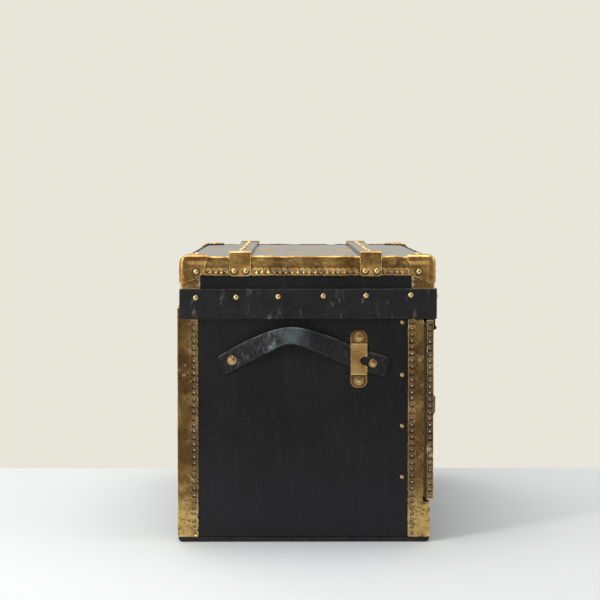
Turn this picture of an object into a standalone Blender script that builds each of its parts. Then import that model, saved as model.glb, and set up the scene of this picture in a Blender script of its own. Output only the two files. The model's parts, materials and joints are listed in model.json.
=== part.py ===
"""Drop-front travel trunk: a boarded case with a hinged lid and a front panel that drops,
edged in sheet brass, with leather handles and a leather valance round the lid.

Metres, +Z up, the front towards -Y, the length along X, origin under the middle of the base.
"left" is -X and "right" is +X, as seen from the front.
"""
import math

import bmesh
import bpy
from mathutils import Vector

# ---- driving dimensions -------------------------------------------------------------------
HALF_LENGTH = 0.450          # to the face of the brass on either end
CASE_BACK = 0.2818           # to the face of the brass on the back
DOOR_FRONT = -0.2814         # face of the brass on the front panel's edges
DOOR_BACK = -0.2671
CASE_FRONT = -0.2598         # front edge of the ends, behind the panel
SILL_FRONT = -0.2748
SILL_TOP = 0.088
DOOR_BOTTOM = 0.0947
DOOR_TOP = 0.4916
LID_BACK = 0.2748
LID_FRONT = -0.2836
LID_TOP = 0.632
SEAM = 0.5215                # where the lid meets the case, behind the valance
CASE_RIM = SEAM - 0.0005     # top of the case boards
LINING_RIM = SEAM - 0.001
LID_FOOT = SEAM + 0.0007     # bottom of the lid boards

GAP = 0.0003                 # between pieces that touch
SHEET = 0.0012               # brass sheet
RIVET_SINK = 0.0005
SKIN = SHEET + GAP           # from a board's face to the face of the brass on it
BOARD = 0.010
CASE_EASE = 0.0015           # eased edges of the case boards
LID_EASE = 0.0035
BENT_BOARD_EASE = 0.0022
EDGE_RADIUS = 0.003          # outer radius of the case's brass corners
LID_EDGE_RADIUS = 0.005
RING_RADIUS = 0.0045         # upright corners of the lid's edging
LID_BEND_RADIUS = 0.015      # long top edges of the lid
BEND_RUN = 0.0025            # how far a bent board goes on past its bend

END_FACE = HALF_LENGTH - SKIN
BACK_FACE = CASE_BACK - SKIN
SILL_FACE = SILL_FRONT + SKIN
DOOR_FACE = DOOR_FRONT + SKIN
CASE_EDGE = CASE_FRONT + SKIN
LID_FRONT_FACE = LID_FRONT + SKIN
LID_BACK_FACE = LID_BACK - SKIN
LID_TOP_FACE = LID_TOP - SKIN

BRASS_LEG = 0.045            # width of the edging on a face
TOP_LEG = 0.012              # how far the edging folds over the lid's top
LID_BRASS_LOW = 0.590
FRONT_LEG = 0.0335           # narrower beside the front panel
FLOOR_BOARD = 0.0108
BRASS_FOOT = FLOOR_BOARD + GAP

BAND_LOW = 0.4934
BAND_HIGH = 0.5595
BAND_LEATHER = 0.0028
BAND_STANDOFF = 0.0015       # from the brass to the inside of the hanging part
BAND_END_FACE = HALF_LENGTH + BAND_STANDOFF + BAND_LEATHER
BAND_FRONT_FACE = -0.2889
BAND_BACK = 0.277
BAND_LIP = SEAM + 0.0025     # above this the valance lies against the lid

SLAT_Y = 0.1437
SLAT_WIDTH = 0.045
SLAT_TOP = 0.6395
CLAMP_WIDTH = 0.048
CLAMP_LOW = 0.5875
CLAMP_REACH = 0.070
CLAMP_RIVET_Y = 0.013        # either side of the middle of a clamp
CLAMP_RIVET_Z = 0.5985
CLAMP_CORNER = 0.007

CAP_SKIN = 0.0018            # from the edging to the outside of a cap over it
CAP_REACH = 0.061
CAP_TIP = 0.046
CAP_RIVET = 0.036            # in from both edges of a face
CAP_RIVET_SIZE = (0.0058, 0.0040)

HANDLE_WIDTH = 0.046
HANDLE_WAIST = (0.172, 0.0045, 0.055)  # from the strap's end, off each edge, spread
FRONT_HANDLE_WIDTH = 0.038
HANDLE_THICK = 0.005
HANDLE_RIVET = (0.0100, 0.0045)  # radius and height of a head
END_HANDLE_SWELL = 0.030     # how far the strap stands off in the middle
KEEPER_Y = -0.1173
KEEPER_Z = 0.405
KEEPER_WIDTH = 0.0365
KEEPER_HALF_HEIGHT = 0.063
BRIDGE_HALF_HEIGHT = 0.033
STRAP_STUD = (0.1616, 0.4024)   # y and z of the stud at the back of an end handle
TAIL_STUD = (-0.1481, 0.3958)
TAIL_DIRECTION = math.radians(16.6)

LID_AXIS = (0.2846, 0.5218)  # y and z of the lid hinge
DOOR_AXIS = (-0.2748, 0.0914)
LID_HINGE_X = 0.27
PIN_SWELL = 0.0006           # thicker ends of a hinge pin, fixed in the outer knuckles
DOOR_HINGE_X = 0.30
LATCH_X = 0.335
LATCH_AXIS = (-0.2925, 0.466)
HASP_AXIS = (-0.2937, 0.5225)

# ---- materials ----------------------------------------------------------------------------
FINISHES = {
    "black_cloth": ((0.018, 0.018, 0.021), 0.62, 0.0),
    "brass": ((0.30, 0.19, 0.06), 0.34, 1.0),
    "black_leather": ((0.012, 0.013, 0.015), 0.38, 0.0),
    "steel": ((0.030, 0.030, 0.033), 0.45, 1.0),
    "wood": ((0.050, 0.040, 0.030), 0.65, 0.0),
    "lining": ((0.42, 0.36, 0.26), 0.85, 0.0),
}


def finish(slot):
    """Material with the finish of that name, made once."""
    found = bpy.data.materials.get(slot)
    if found:
        return found
    colour, roughness, metallic = FINISHES[slot]
    material = bpy.data.materials.new(slot)
    material.use_nodes = True
    shader = material.node_tree.nodes["Principled BSDF"]
    shader.inputs["Base Color"].default_value = (*colour, 1.0)
    shader.inputs["Roughness"].default_value = roughness
    shader.inputs["Metallic"].default_value = metallic
    material.diffuse_color = (*colour, 1.0)
    return material


# ---- building blocks ----------------------------------------------------------------------
def clear_scene():
    for item in list(bpy.data.objects):
        bpy.data.objects.remove(item, do_unlink=True)


def place(name, bm, slot, origin=(0.0, 0.0, 0.0), smooth=False, mirrored=False):
    """Turn a bmesh in world coordinates into an object whose origin is at the point given."""
    if mirrored:
        for vert in bm.verts:
            vert.co.x = -vert.co.x
        bmesh.ops.reverse_faces(bm, faces=bm.faces)
        origin = (-origin[0], origin[1], origin[2])
    shift = Vector(origin)
    for vert in bm.verts:
        vert.co -= shift
    mesh = bpy.data.meshes.new(name)
    bm.to_mesh(mesh)
    bm.free()
    mesh.materials.append(finish(slot))
    if smooth:
        mesh.shade_smooth()
        mesh.set_sharp_from_angle(angle=math.radians(35))
    item = bpy.data.objects.new(name, mesh)
    item.location = shift
    bpy.context.scene.collection.objects.link(item)
    return item


def add_box(bm, low, high):
    """Box between two corners, added to the bmesh."""
    made = bmesh.ops.create_cube(bm, size=1.0)["verts"]
    for vert in made:
        for axis in range(3):
            middle = (low[axis] + high[axis]) / 2
            vert.co[axis] = middle + vert.co[axis] * (high[axis] - low[axis])


def add_prism(bm, outline, axis, low, high):
    """Outline in the two other axes, in their alphabetical order, extruded along one axis."""
    def point(pair, along):
        values = list(pair)
        values.insert("xyz".index(axis), along)
        return bm.verts.new(values)

    bottom = [point(pair, low) for pair in outline]
    top = [point(pair, high) for pair in outline]
    faces = [bm.faces.new(bottom), bm.faces.new(top)]
    count = len(outline)
    for i in range(count):
        j = (i + 1) % count
        faces.append(bm.faces.new((bottom[i], bottom[j], top[j], top[i])))
    bmesh.ops.recalc_face_normals(bm, faces=faces)


def board(name, low, high, slot, ease=CASE_EASE, mirrored=False, segments=1):
    """Flat board with its edges eased."""
    bm = bmesh.new()
    add_box(bm, low, high)
    item = place(name, bm, slot, mirrored=mirrored)
    ease_edges(item, ease, segments)
    return item


def ease_edges(item, width, segments=1):
    bevel = item.modifiers.new("eased_edges", "BEVEL")
    bevel.width = width
    bevel.segments = segments
    bevel.limit_method = "ANGLE"
    bevel.angle_limit = math.radians(50)


def arc(centre, radius, start, end, steps):
    """Points of an arc from one angle to another, in degrees."""
    points = []
    for i in range(steps + 1):
        angle = math.radians(start + (end - start) * i / steps)
        points.append((centre[0] + radius * math.cos(angle),
                       centre[1] + radius * math.sin(angle)))
    return points


def ribbon(line, thickness):
    """Closed outline of a strip of even thickness to the left of a line of points."""
    offset = []
    count = len(line)
    for i, point in enumerate(line):
        here = Vector(point)
        before = (here - Vector(line[i - 1])).normalized() if i > 0 else None
        after = (Vector(line[i + 1]) - here).normalized() if i < count - 1 else None
        if before is None:
            before = after
        if after is None:
            after = before
        along = (before + after).normalized()
        normal = Vector((-along.y, along.x))
        reach = thickness / max(normal.dot(Vector((-before.y, before.x))), 0.3)
        offset.append(tuple(here + normal * reach))
    return list(line) + offset[::-1]


def apply_boolean(item, operation, *others):
    """Cut or join with other objects, which are then removed."""
    for other in others:
        change = item.modifiers.new(operation.lower(), "BOOLEAN")
        change.operation = operation
        change.solver = "EXACT"
        change.object = other
    bpy.context.view_layer.update()
    graph = bpy.context.evaluated_depsgraph_get()
    result = bpy.data.meshes.new_from_object(item.evaluated_get(graph))
    item.modifiers.clear()
    item.data = result
    for other in others:
        bpy.data.objects.remove(other, do_unlink=True)


def add_dome(bm, base, normal, radius, height, sides=10, rings=3):
    """Domed nail head standing on a face: flat underside, rounded top."""
    normal = Vector(normal).normalized()
    across = normal.orthogonal().normalized()
    up = normal.cross(across)
    base = Vector(base)
    loops = []
    for ring in range(rings):
        angle = math.pi / 2 * ring / rings
        loop = []
        for k in range(sides):
            turn = 2 * math.pi * k / sides
            spoke = across * math.cos(turn) + up * math.sin(turn)
            loop.append(bm.verts.new(base + spoke * radius * math.cos(angle)
                                     + normal * height * math.sin(angle)))
        loops.append(loop)
    faces = [bm.faces.new(loops[0])]
    for lower, upper in zip(loops, loops[1:]):
        for k in range(sides):
            n = (k + 1) % sides
            faces.append(bm.faces.new((lower[k], lower[n], upper[n], upper[k])))
    crown = bm.verts.new(base + normal * height)
    for k in range(sides):
        faces.append(bm.faces.new((loops[-1][k], loops[-1][(k + 1) % sides], crown)))
    bmesh.ops.recalc_face_normals(bm, faces=faces)


def rivet_on(item, domes, sides=10):
    """Join rivet heads to the piece they hold: each has a foot, a direction, a radius and
    a height. The foot is sunk a little, so that head and piece are one body."""
    slot = item.data.materials[0].name
    heads = []
    for base, normal, radius, height in domes:
        direction = Vector(normal)
        bm = bmesh.new()
        foot = Vector(base) - direction * RIVET_SINK
        add_dome(bm, foot, direction, radius, height + RIVET_SINK, sides)
        heads.append(place("rivet_head", bm, slot))
    apply_boolean(item, "UNION", *heads)
    shade(item)


def sheet_thickness(item):
    """Give an outward-facing sheet its thickness on the inside."""
    solid = item.modifiers.new("sheet", "SOLIDIFY")
    solid.thickness = SHEET
    solid.offset = -1.0
    solid.use_even_offset = True


def face_away_from(bm, centre):
    """Turn an open sheet's faces so that they point away from a point inside the trunk."""
    bmesh.ops.recalc_face_normals(bm, faces=bm.faces)
    bm.normal_update()
    total = sum(f.normal.dot(f.calc_center_median() - Vector(centre)) * f.calc_area()
                for f in bm.faces)
    if total < 0:
        bmesh.ops.reverse_faces(bm, faces=bm.faces)


def shade(item):
    item.data.shade_smooth()
    item.data.set_sharp_from_angle(angle=math.radians(35))


BOTH_ENDS = (("left", True), ("right", False))


# ---- case ---------------------------------------------------------------------------------
def build_case_boards():
    foot_radius = 0.010
    outline = arc((SILL_FACE + foot_radius, foot_radius), foot_radius, 180, 270, 4)
    outline += arc((BACK_FACE - foot_radius, foot_radius), foot_radius, 270, 360, 4)
    outline += [(BACK_FACE, FLOOR_BOARD), (SILL_FACE, FLOOR_BOARD)]
    bm = bmesh.new()
    add_prism(bm, outline, "x", -END_FACE, END_FACE)
    place("case_bottom_board", bm, "wood")

    foot = FLOOR_BOARD + GAP
    top = CASE_RIM
    back_inside = BACK_FACE - BOARD
    board("case_back_board", (-END_FACE, back_inside, foot), (END_FACE, BACK_FACE, top),
          "black_cloth")
    for side, mirrored in BOTH_ENDS:
        board(f"case_{side}_end_board", (END_FACE - BOARD, CASE_EDGE, foot),
              (END_FACE, back_inside - GAP, top), "black_cloth", mirrored=mirrored)
    rail_back = CASE_EDGE - GAP
    board("front_sill_board", (-END_FACE, SILL_FACE, foot),
          (END_FACE, rail_back, SILL_TOP - SKIN), "black_cloth")
    board("front_head_rail", (-END_FACE, DOOR_FACE, DOOR_TOP + 0.0030),
          (END_FACE, rail_back, top), "black_cloth")


def build_case_lining():
    """Cloth-covered lining of the floor, the back, the two ends and the low front."""
    side = END_FACE - BOARD - GAP
    front = CASE_EDGE
    back = BACK_FACE - BOARD - GAP
    low = FLOOR_BOARD + GAP
    high = LINING_RIM
    lip = SILL_TOP - SKIN
    bm = bmesh.new()
    corner = {}
    for sx in (-1, 1):
        corner[sx, "front", "low"] = bm.verts.new((sx * side, front, low))
        corner[sx, "front", "lip"] = bm.verts.new((sx * side, front, lip))
        corner[sx, "front", "high"] = bm.verts.new((sx * side, front, high))
        corner[sx, "back", "low"] = bm.verts.new((sx * side, back, low))
        corner[sx, "back", "high"] = bm.verts.new((sx * side, back, high))
    bm.faces.new([corner[k] for k in ((-1, "front", "low"), (1, "front", "low"),
                                      (1, "back", "low"), (-1, "back", "low"))])
    bm.faces.new([corner[k] for k in ((-1, "back", "low"), (1, "back", "low"),
                                      (1, "back", "high"), (-1, "back", "high"))])
    bm.faces.new([corner[k] for k in ((-1, "front", "low"), (1, "front", "low"),
                                      (1, "front", "lip"), (-1, "front", "lip"))])
    for sx in (-1, 1):
        bm.faces.new([corner[sx, *k] for k in (("front", "low"), ("front", "lip"),
                                               ("front", "high"), ("back", "high"),
                                               ("back", "low"))])
    face_away_from(bm, (0.0, 0.0, high / 2))
    item = place("case_lining", bm, "lining")
    sheet_thickness(item)


def corner_line(outer_x, outer_y, leg_x, leg_y, radius, inward_y):
    """Line of the outside of a corner strip in plan, from its end leg to its side leg."""
    centre = (outer_x - radius, outer_y + inward_y * radius)
    if inward_y < 0:
        turn = arc(centre, radius, 0, 90, 4)
    else:
        turn = arc(centre, radius, 0, -90, 4)
    return [(outer_x, outer_y + inward_y * leg_y)] + turn + [(outer_x - leg_x, outer_y)]


def build_corner_strip(name, outer_y, inward_y, legs, radius, low, high, mirrored):
    line = corner_line(HALF_LENGTH, outer_y, legs[0], legs[1], radius, inward_y)
    thickness = SHEET if inward_y < 0 else -SHEET
    bm = bmesh.new()
    add_prism(bm, ribbon(line, thickness), "z", low, high)
    place(name, bm, "brass", mirrored=mirrored, smooth=True)


def build_case_brass():
    high = LINING_RIM
    for side, mirrored in BOTH_ENDS:
        build_corner_strip(f"case_brass_back_{side}", CASE_BACK, -1, (BRASS_LEG, BRASS_LEG),
                           EDGE_RADIUS, BRASS_FOOT, high, mirrored)
        build_front_brass(side, mirrored)


def build_front_brass(side, mirrored):
    """Sheet on the end's front edge, stepped out below to wrap the sill as well."""
    inner = CASE_FRONT + FRONT_LEG
    edge_return = 0.009
    sill_return = 0.030
    high = DOOR_TOP + 0.0016
    x = HALF_LENGTH
    outline = [(inner, BRASS_FOOT), (SILL_FRONT, BRASS_FOOT), (SILL_FRONT, SILL_TOP),
               (CASE_FRONT, SILL_TOP), (CASE_FRONT, high), (inner, high)]
    bm = bmesh.new()
    add_prism(bm, outline, "x", x - SHEET, x)
    item = place(f"case_brass_front_{side}", bm, "brass", mirrored=mirrored)
    returns = (
        ((x - sill_return, SILL_FRONT, BRASS_FOOT), (x, SILL_FRONT + SHEET, SILL_TOP)),
        ((x - sill_return, SILL_FRONT, SILL_TOP - SHEET), (x, CASE_FRONT + SHEET, SILL_TOP)),
        ((x - edge_return, CASE_FRONT, SILL_TOP - SHEET), (x, CASE_FRONT + SHEET, high)))
    parts = []
    for low_corner, high_corner in returns:
        bm = bmesh.new()
        add_box(bm, low_corner, high_corner)
        parts.append(place("sheet_return", bm, "brass", mirrored=mirrored))
    apply_boolean(item, "UNION", *parts)


# ---- leather handles ----------------------------------------------------------------------
def strap_points(knots, steps, floor=None):
    """Smooth line through a few points (Catmull-Rom), with its ends kept. The floor is the
    face it lies on: an axis, a value, and the sign of the side on which the line stays."""
    knots = [Vector(k) for k in knots]
    padded = [2 * knots[0] - knots[1]] + knots + [2 * knots[-1] - knots[-2]]
    points = []
    for i in range(1, len(padded) - 2):
        a, b, c, d = padded[i - 1:i + 3]
        for k in range(steps):
            t = k / steps
            points.append(0.5 * ((2 * b) + (c - a) * t + (2 * a - 5 * b + 4 * c - d) * t * t
                                 + (3 * b - a - 3 * c + d) * t ** 3))
    points.append(knots[-1])
    if floor:
        axis, value, sign = floor
        for point in points:
            point[axis] = sign * max(sign * point[axis], sign * value)
    return points


def build_strap(name, line, outward, width, thickness, origin, mirrored=False, tips=(),
                waist=None):
    """Flat leather strap swept along a line. Its width lies square to the line and to the
    outward direction. The tips named are rounded, and the waist is where it is narrower."""
    outward = Vector(outward)
    corner = 0.010
    bm = bmesh.new()
    rings = []
    count = len(line)
    length = [0.0]
    for a, b in zip(line, line[1:]):
        length.append(length[-1] + (b - a).length)
    for i, point in enumerate(line):
        along = (line[min(i + 1, count - 1)] - line[max(i - 1, 0)]).normalized()
        across = outward.cross(along).normalized()
        face = along.cross(across).normalized()
        half = width / 2
        if waist:
            middle, narrower, spread = waist
            half -= narrower * math.exp(-((length[i] - middle) / spread) ** 2)
        for tip, near in (("start", length[i]), ("end", length[-1] - length[i])):
            if tip in tips and near < corner:
                half -= corner - math.sqrt(max(corner ** 2 - (corner - near) ** 2, 0.0))
        soft = thickness * 0.3
        section = ((-half, 0.0), (half, 0.0), (half, thickness - soft),
                   (half - 2 * soft, thickness), (-half + 2 * soft, thickness),
                   (-half, thickness - soft))
        rings.append([bm.verts.new(point + across * u + face * v) for u, v in section])
    size = len(rings[0])
    for lower, upper in zip(rings, rings[1:]):
        for k in range(size):
            n = (k + 1) % size
            bm.faces.new((lower[k], lower[n], upper[n], upper[k]))
    bm.faces.new(rings[0])
    bm.faces.new(rings[-1])
    bmesh.ops.recalc_face_normals(bm, faces=bm.faces)
    return place(name, bm, "black_leather", origin, smooth=True, mirrored=mirrored)


def tail_point(distance, x):
    """Point on the line of the handle's tail, measured from its stud towards the keeper."""
    return Vector((x, TAIL_STUD[0] + distance * math.cos(TAIL_DIRECTION),
                   TAIL_STUD[1] + distance * math.sin(TAIL_DIRECTION)))


def build_end_handles():
    flat = END_FACE + GAP
    swell = END_HANDLE_SWELL
    hidden_split = 0.0415        # the strap's own end, under the keeper's bridge
    knots = ((flat, 0.1850, 0.3890), (flat, *STRAP_STUD), (flat + swell * 0.45, 0.110, 0.4310),
             (flat + swell * 0.95, 0.055, 0.4555), (flat + swell, 0.018, 0.4580),
             (flat + swell * 0.72, -0.025, 0.4440), (flat + swell * 0.14, -0.072, 0.4235),
             tail_point(hidden_split + 0.015, flat), tail_point(hidden_split, flat))
    on_strap = flat + HANDLE_THICK
    for side, mirrored in BOTH_ENDS:
        sign = -1 if mirrored else 1
        strap = build_strap(f"{side}_handle_strap",
                            strap_points(knots, 4, (0, flat, 1)), (1, 0, 0),
                            HANDLE_WIDTH, HANDLE_THICK, (flat, *STRAP_STUD), mirrored,
                            ("start",), HANDLE_WAIST)
        rivet_on(strap, [((sign * on_strap, *STRAP_STUD), (sign, 0, 0), *HANDLE_RIVET)], 12)
        reach = [-0.0345, -0.0330, -0.0300, -0.0245, 0.0, 0.0235]
        line = [tail_point(d, flat) for d in reach]
        stud = tail_point(0.0, flat)
        build_strap(f"{side}_handle_tail", line, (1, 0, 0), HANDLE_WIDTH, HANDLE_THICK,
                    tuple(stud), mirrored, ("start",))
        build_keeper(side, mirrored, flat)
        bm = bmesh.new()
        top = on_strap + GAP
        add_dome(bm, (top, *stud.yz), (1, 0, 0), 0.0090, 0.0016, sides=14, rings=2)
        head = place(f"{side}_tail_stud", bm, "brass", (top, *stud.yz), mirrored=mirrored)
        crown = ((sign * (top + 0.0010), *stud.yz), (sign, 0, 0), 0.0062, 0.0034)
        rivet_on(head, [crown], 12)


def build_keeper(side, mirrored, flat):
    """Brass bridge over the tail of the strap: two riveted tabs with round ends and a raised
    middle, with a round notch in the edge that meets the stud."""
    rise = HANDLE_THICK + 2 * GAP
    tab = KEEPER_HALF_HEIGHT
    bridge = BRIDGE_HALF_HEIGHT
    half = KEEPER_WIDTH / 2
    line = [(flat, KEEPER_Z - tab), (flat, KEEPER_Z - bridge), (flat + rise, KEEPER_Z - bridge),
            (flat + rise, KEEPER_Z + bridge), (flat, KEEPER_Z + bridge), (flat, KEEPER_Z + tab)]
    thickness = 0.0015
    bm = bmesh.new()
    add_prism(bm, ribbon(line, -thickness), "y", KEEPER_Y - half, KEEPER_Y + half)
    item = place(f"{side}_handle_keeper", bm, "brass", (flat, KEEPER_Y, KEEPER_Z),
                 mirrored=mirrored)
    round_end = half * 0.80
    outline = []
    for cy, cz, start in ((1, 1, 0), (-1, 1, 90), (-1, -1, 180), (1, -1, 270)):
        centre = (KEEPER_Y + cy * (half - round_end), KEEPER_Z + cz * (tab - round_end))
        outline += arc(centre, round_end, start, start + 90, 4)
    bm = bmesh.new()
    add_prism(bm, outline, "x", flat - 0.01, flat + 0.02)
    stadium = place("keeper_outline", bm, "brass", mirrored=mirrored)
    apply_boolean(item, "INTERSECT", stadium)
    notch_radius = 0.0097
    from_stud = 0.0189
    centre = tail_point(from_stud, flat)
    outline = arc((centre.y, centre.z), notch_radius, 106, -74, 8)
    away = Vector((-math.cos(TAIL_DIRECTION), -math.sin(TAIL_DIRECTION))) * 0.02
    outline += [(outline[-1][0] + away.x, outline[-1][1] + away.y),
                (outline[0][0] + away.x, outline[0][1] + away.y)]
    bm = bmesh.new()
    add_prism(bm, outline, "x", flat - 0.01, flat + 0.02)
    notch = place("keeper_notch", bm, "brass", mirrored=mirrored)
    apply_boolean(item, "DIFFERENCE", notch)
    sign = -1 if mirrored else 1
    rivet_z = KEEPER_HALF_HEIGHT - 0.0155
    rivet_on(item, [((sign * (flat + thickness), KEEPER_Y, KEEPER_Z + up * rivet_z),
                     (sign, 0, 0), 0.0088, 0.0040) for up in (-1, 1)], 12)


# ---- hinges -------------------------------------------------------------------------------
def curl(radius, start, sweep):
    """Outside line of a rolled knuckle round the origin, seen along the pin."""
    return arc((0.0, 0.0), radius, start, start + sweep, 10)


def knuckle_spans(centre, width, chosen):
    """Lengths of the chosen ones of three knuckles, with a small gap between neighbours."""
    step = width / 3
    start = centre - width / 2
    return [(start + k * step + GAP, start + (k + 1) * step - GAP) for k in chosen]


def hinge_leaf(name, axis, centre, width, plate, knuckle, chosen, thickness, pin=None):
    """Leaf of sheet brass: a plate over the whole width, knuckles rolled from part of it, and
    for the leaf that holds it the pin, with a thicker end in each of its knuckles."""
    def solid(label, line, span):
        shifted = [(axis[0] + y, axis[1] + z) for y, z in line]
        bm = bmesh.new()
        add_prism(bm, ribbon(shifted, thickness), "x", *span)
        return place(label, bm, "brass", (centre, *axis))

    half = width / 2 - GAP
    item = solid(name, plate, (centre - half, centre + half))
    parts = [solid("knuckle", knuckle, span)
             for span in knuckle_spans(centre, width, chosen)]
    if pin:
        spans = [(span, pin + PIN_SWELL) for span in knuckle_spans(centre, width, chosen)]
        spans.append(((centre - half + 0.001, centre + half - 0.001), pin))
        for span, radius in spans:
            bm = bmesh.new()
            add_prism(bm, arc(axis, radius, 0, 330, 11), "x", *span)
            parts.append(place("pin", bm, "brass"))
    apply_boolean(item, "UNION", *parts)
    shade(item)


def build_lid_hinges():
    radius = 0.0036
    sheet = 0.0016
    pin = radius - sheet - GAP
    case_y = BACK_FACE + GAP - LID_AXIS[0]
    lid_y = LID_BACK_FACE + GAP + sheet - LID_AXIS[0]
    long_leg = 0.055
    case_plate = [(case_y, -long_leg), (case_y, -radius - 0.003)]
    case_knuckle = case_plate + [(-radius, -0.001)] + curl(radius, 180, -290)
    lid_plate = [(lid_y, long_leg), (lid_y, radius)]
    lid_knuckle = lid_plate + [(-0.0005, radius)] + curl(radius, 90, -290)
    for side, sx in (("left", -1), ("right", 1)):
        x = sx * LID_HINGE_X
        hinge_leaf(f"lid_hinge_case_leaf_{side}", LID_AXIS, x, 0.072, case_plate, case_knuckle,
                   (0, 2), -sheet, pin)
        hinge_leaf(f"lid_hinge_lid_leaf_{side}", LID_AXIS, x, 0.072, lid_plate, lid_knuckle,
                   (1,), -sheet)


def build_door_hinges():
    radius = 0.0029
    sheet = 0.0013
    pin = radius - sheet - GAP
    reach = 0.0125
    low_plate = [(reach, -radius), (0.0032, -radius)]
    low_knuckle = [(reach, -radius), (0.0, -radius)] + curl(radius, -100, -270)
    high_plate = [(reach, radius), (0.0032, radius)]
    high_knuckle = [(reach, radius), (0.0, radius)] + curl(radius, 100, 270)
    for side, sx in (("left", -1), ("right", 1)):
        x = sx * DOOR_HINGE_X
        hinge_leaf(f"panel_hinge_sill_leaf_{side}", DOOR_AXIS, x, 0.066, low_plate, low_knuckle,
                   (0, 2), -sheet, pin)
        hinge_leaf(f"panel_hinge_panel_leaf_{side}", DOOR_AXIS, x, 0.066, high_plate,
                   high_knuckle, (1,), sheet)


# ---- lid ----------------------------------------------------------------------------------
def bent_board(name, outer_y, inward):
    """Side of the lid, bent over at its top to meet the top board."""
    radius = LID_BEND_RADIUS - SKIN
    low = LID_FOOT
    centre = (outer_y + inward * radius, LID_TOP_FACE - radius)
    start = 180 if inward > 0 else 0
    turn = arc(centre, radius, start, 90, 6)
    line = [(outer_y, low)] + turn + [(outer_y + inward * (radius + BEND_RUN), LID_TOP_FACE)]
    bm = bmesh.new()
    add_prism(bm, ribbon(line, -inward * BOARD), "x", -END_FACE, END_FACE)
    item = place(name, bm, "black_cloth")
    ease_edges(item, BENT_BOARD_EASE)


def build_lid_boards():
    bent_board("lid_front_board", LID_FRONT_FACE, 1)
    bent_board("lid_back_board", LID_BACK_FACE, -1)
    run = LID_BEND_RADIUS - SKIN + BEND_RUN + GAP
    board("lid_top_board", (-END_FACE, LID_FRONT_FACE + run, LID_TOP_FACE - BOARD),
          (END_FACE, LID_BACK_FACE - run, LID_TOP_FACE), "black_cloth", LID_EASE, segments=2)
    front = LID_FRONT_FACE + BOARD + GAP
    back = LID_BACK_FACE - BOARD - GAP
    under = LID_TOP_FACE - BOARD - GAP
    for side, mirrored in BOTH_ENDS:
        board(f"lid_{side}_end_board", (END_FACE - BOARD, front, LID_FOOT),
              (END_FACE, back, under), "black_cloth", 0.0036, mirrored=mirrored)
    inside = END_FACE - BOARD - GAP
    bm = bmesh.new()
    add_box(bm, (-inside, front + 0.004, under - SHEET), (inside, back - 0.004, under))
    place("lid_lining", bm, "lining")


def build_lid_brass():
    """Edging of the lid: a ring round its four sides, and on both ends a strip that goes on
    up and folds over the top."""
    low = LID_BRASS_LOW
    ring_top = LID_TOP - LID_BEND_RADIUS
    radius = LID_EDGE_RADIUS

    def ring_outline(inset):
        outline = []
        for sx, y, start in ((1, LID_BACK, 0), (-1, LID_BACK, 90), (-1, LID_FRONT, 180),
                             (1, LID_FRONT, 270)):
            corner = (sx * (HALF_LENGTH - RING_RADIUS), y - math.copysign(RING_RADIUS, y))
            outline += arc(corner, RING_RADIUS - inset, start, start + 90, 4)
        return outline

    bm = bmesh.new()
    add_prism(bm, ring_outline(0.0), "z", low, ring_top)
    frame = place("lid_edge_brass", bm, "brass")
    bm = bmesh.new()
    add_prism(bm, ring_outline(SHEET), "z", low - 0.01, ring_top + 0.01)
    apply_boolean(frame, "DIFFERENCE", place("ring_inside", bm, "brass"))
    strips = []
    past_bend = LID_BEND_RADIUS + 0.003
    for sx in (-1, 1):
        centre = (sx * (HALF_LENGTH - radius), LID_TOP - radius)
        turn = arc(centre, radius, 180 if sx < 0 else 0, 90, 4)
        line = [(sx * HALF_LENGTH, low + 0.004)] + turn
        line.append((sx * (HALF_LENGTH - TOP_LEG), LID_TOP))
        bm = bmesh.new()
        add_prism(bm, ribbon(line, sx * SHEET), "y", LID_FRONT + past_bend,
                  LID_BACK - past_bend)
        strips.append(place("end_strip", bm, "brass"))
    apply_boolean(frame, "UNION", *strips)
    shade(frame)


def wrapped(a, b, c, edge, bend):
    """Point of a rounded corner. a, b and c are its distances in from the end, the side and
    the top, one of them zero. The long edge has the bend radius, the others the edge radius."""
    depth = min(b, c)
    new_depth, new_a = depth, a
    if a < edge and depth < edge:
        ea, ed = edge - a, edge - depth
        scale = max(ea, ed) / math.hypot(ea, ed)
        new_a, new_depth = edge - ea * scale, edge - ed * scale
    if b < bend and c < bend:
        db, dc = bend - b, bend - c
        norm = math.hypot(db, dc)
        radius = bend - new_depth
        return new_a, bend - db / norm * radius, bend - dc / norm * radius
    if b <= c:
        return new_a, new_depth, c
    return new_a, b, new_depth


def leaf(s, t):
    """Leaf outline of one face of a cap: a square sheet whose far corner is drawn in."""
    pull = CAP_REACH - CAP_TIP
    return s * CAP_REACH - pull * s * t * t, t * CAP_REACH - pull * t * s * s


def build_caps():
    """Pressed brass corners: three leaf-shaped faces over one rounded corner, and a rivet
    near the tip of each."""
    edge = LID_EDGE_RADIUS + CAP_SKIN
    bend = LID_BEND_RADIUS + CAP_SKIN
    stops = [0.0, edge * (1 - math.tan(math.radians(22.5)))]
    stops += [bend * (1 - math.tan(math.radians(t))) for t in (30, 15, 0)]
    stops += [0.038, CAP_REACH]
    stops = [s / CAP_REACH for s in stops]
    for side, sx in (("left", -1), ("right", 1)):
        build_cap(f"lid_cap_front_{side}", sx, LID_FRONT - CAP_SKIN, 1, stops, edge, bend)
        build_cap(f"lid_cap_back_{side}", sx, LID_BACK + CAP_SKIN, -1, stops, edge, bend)


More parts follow.
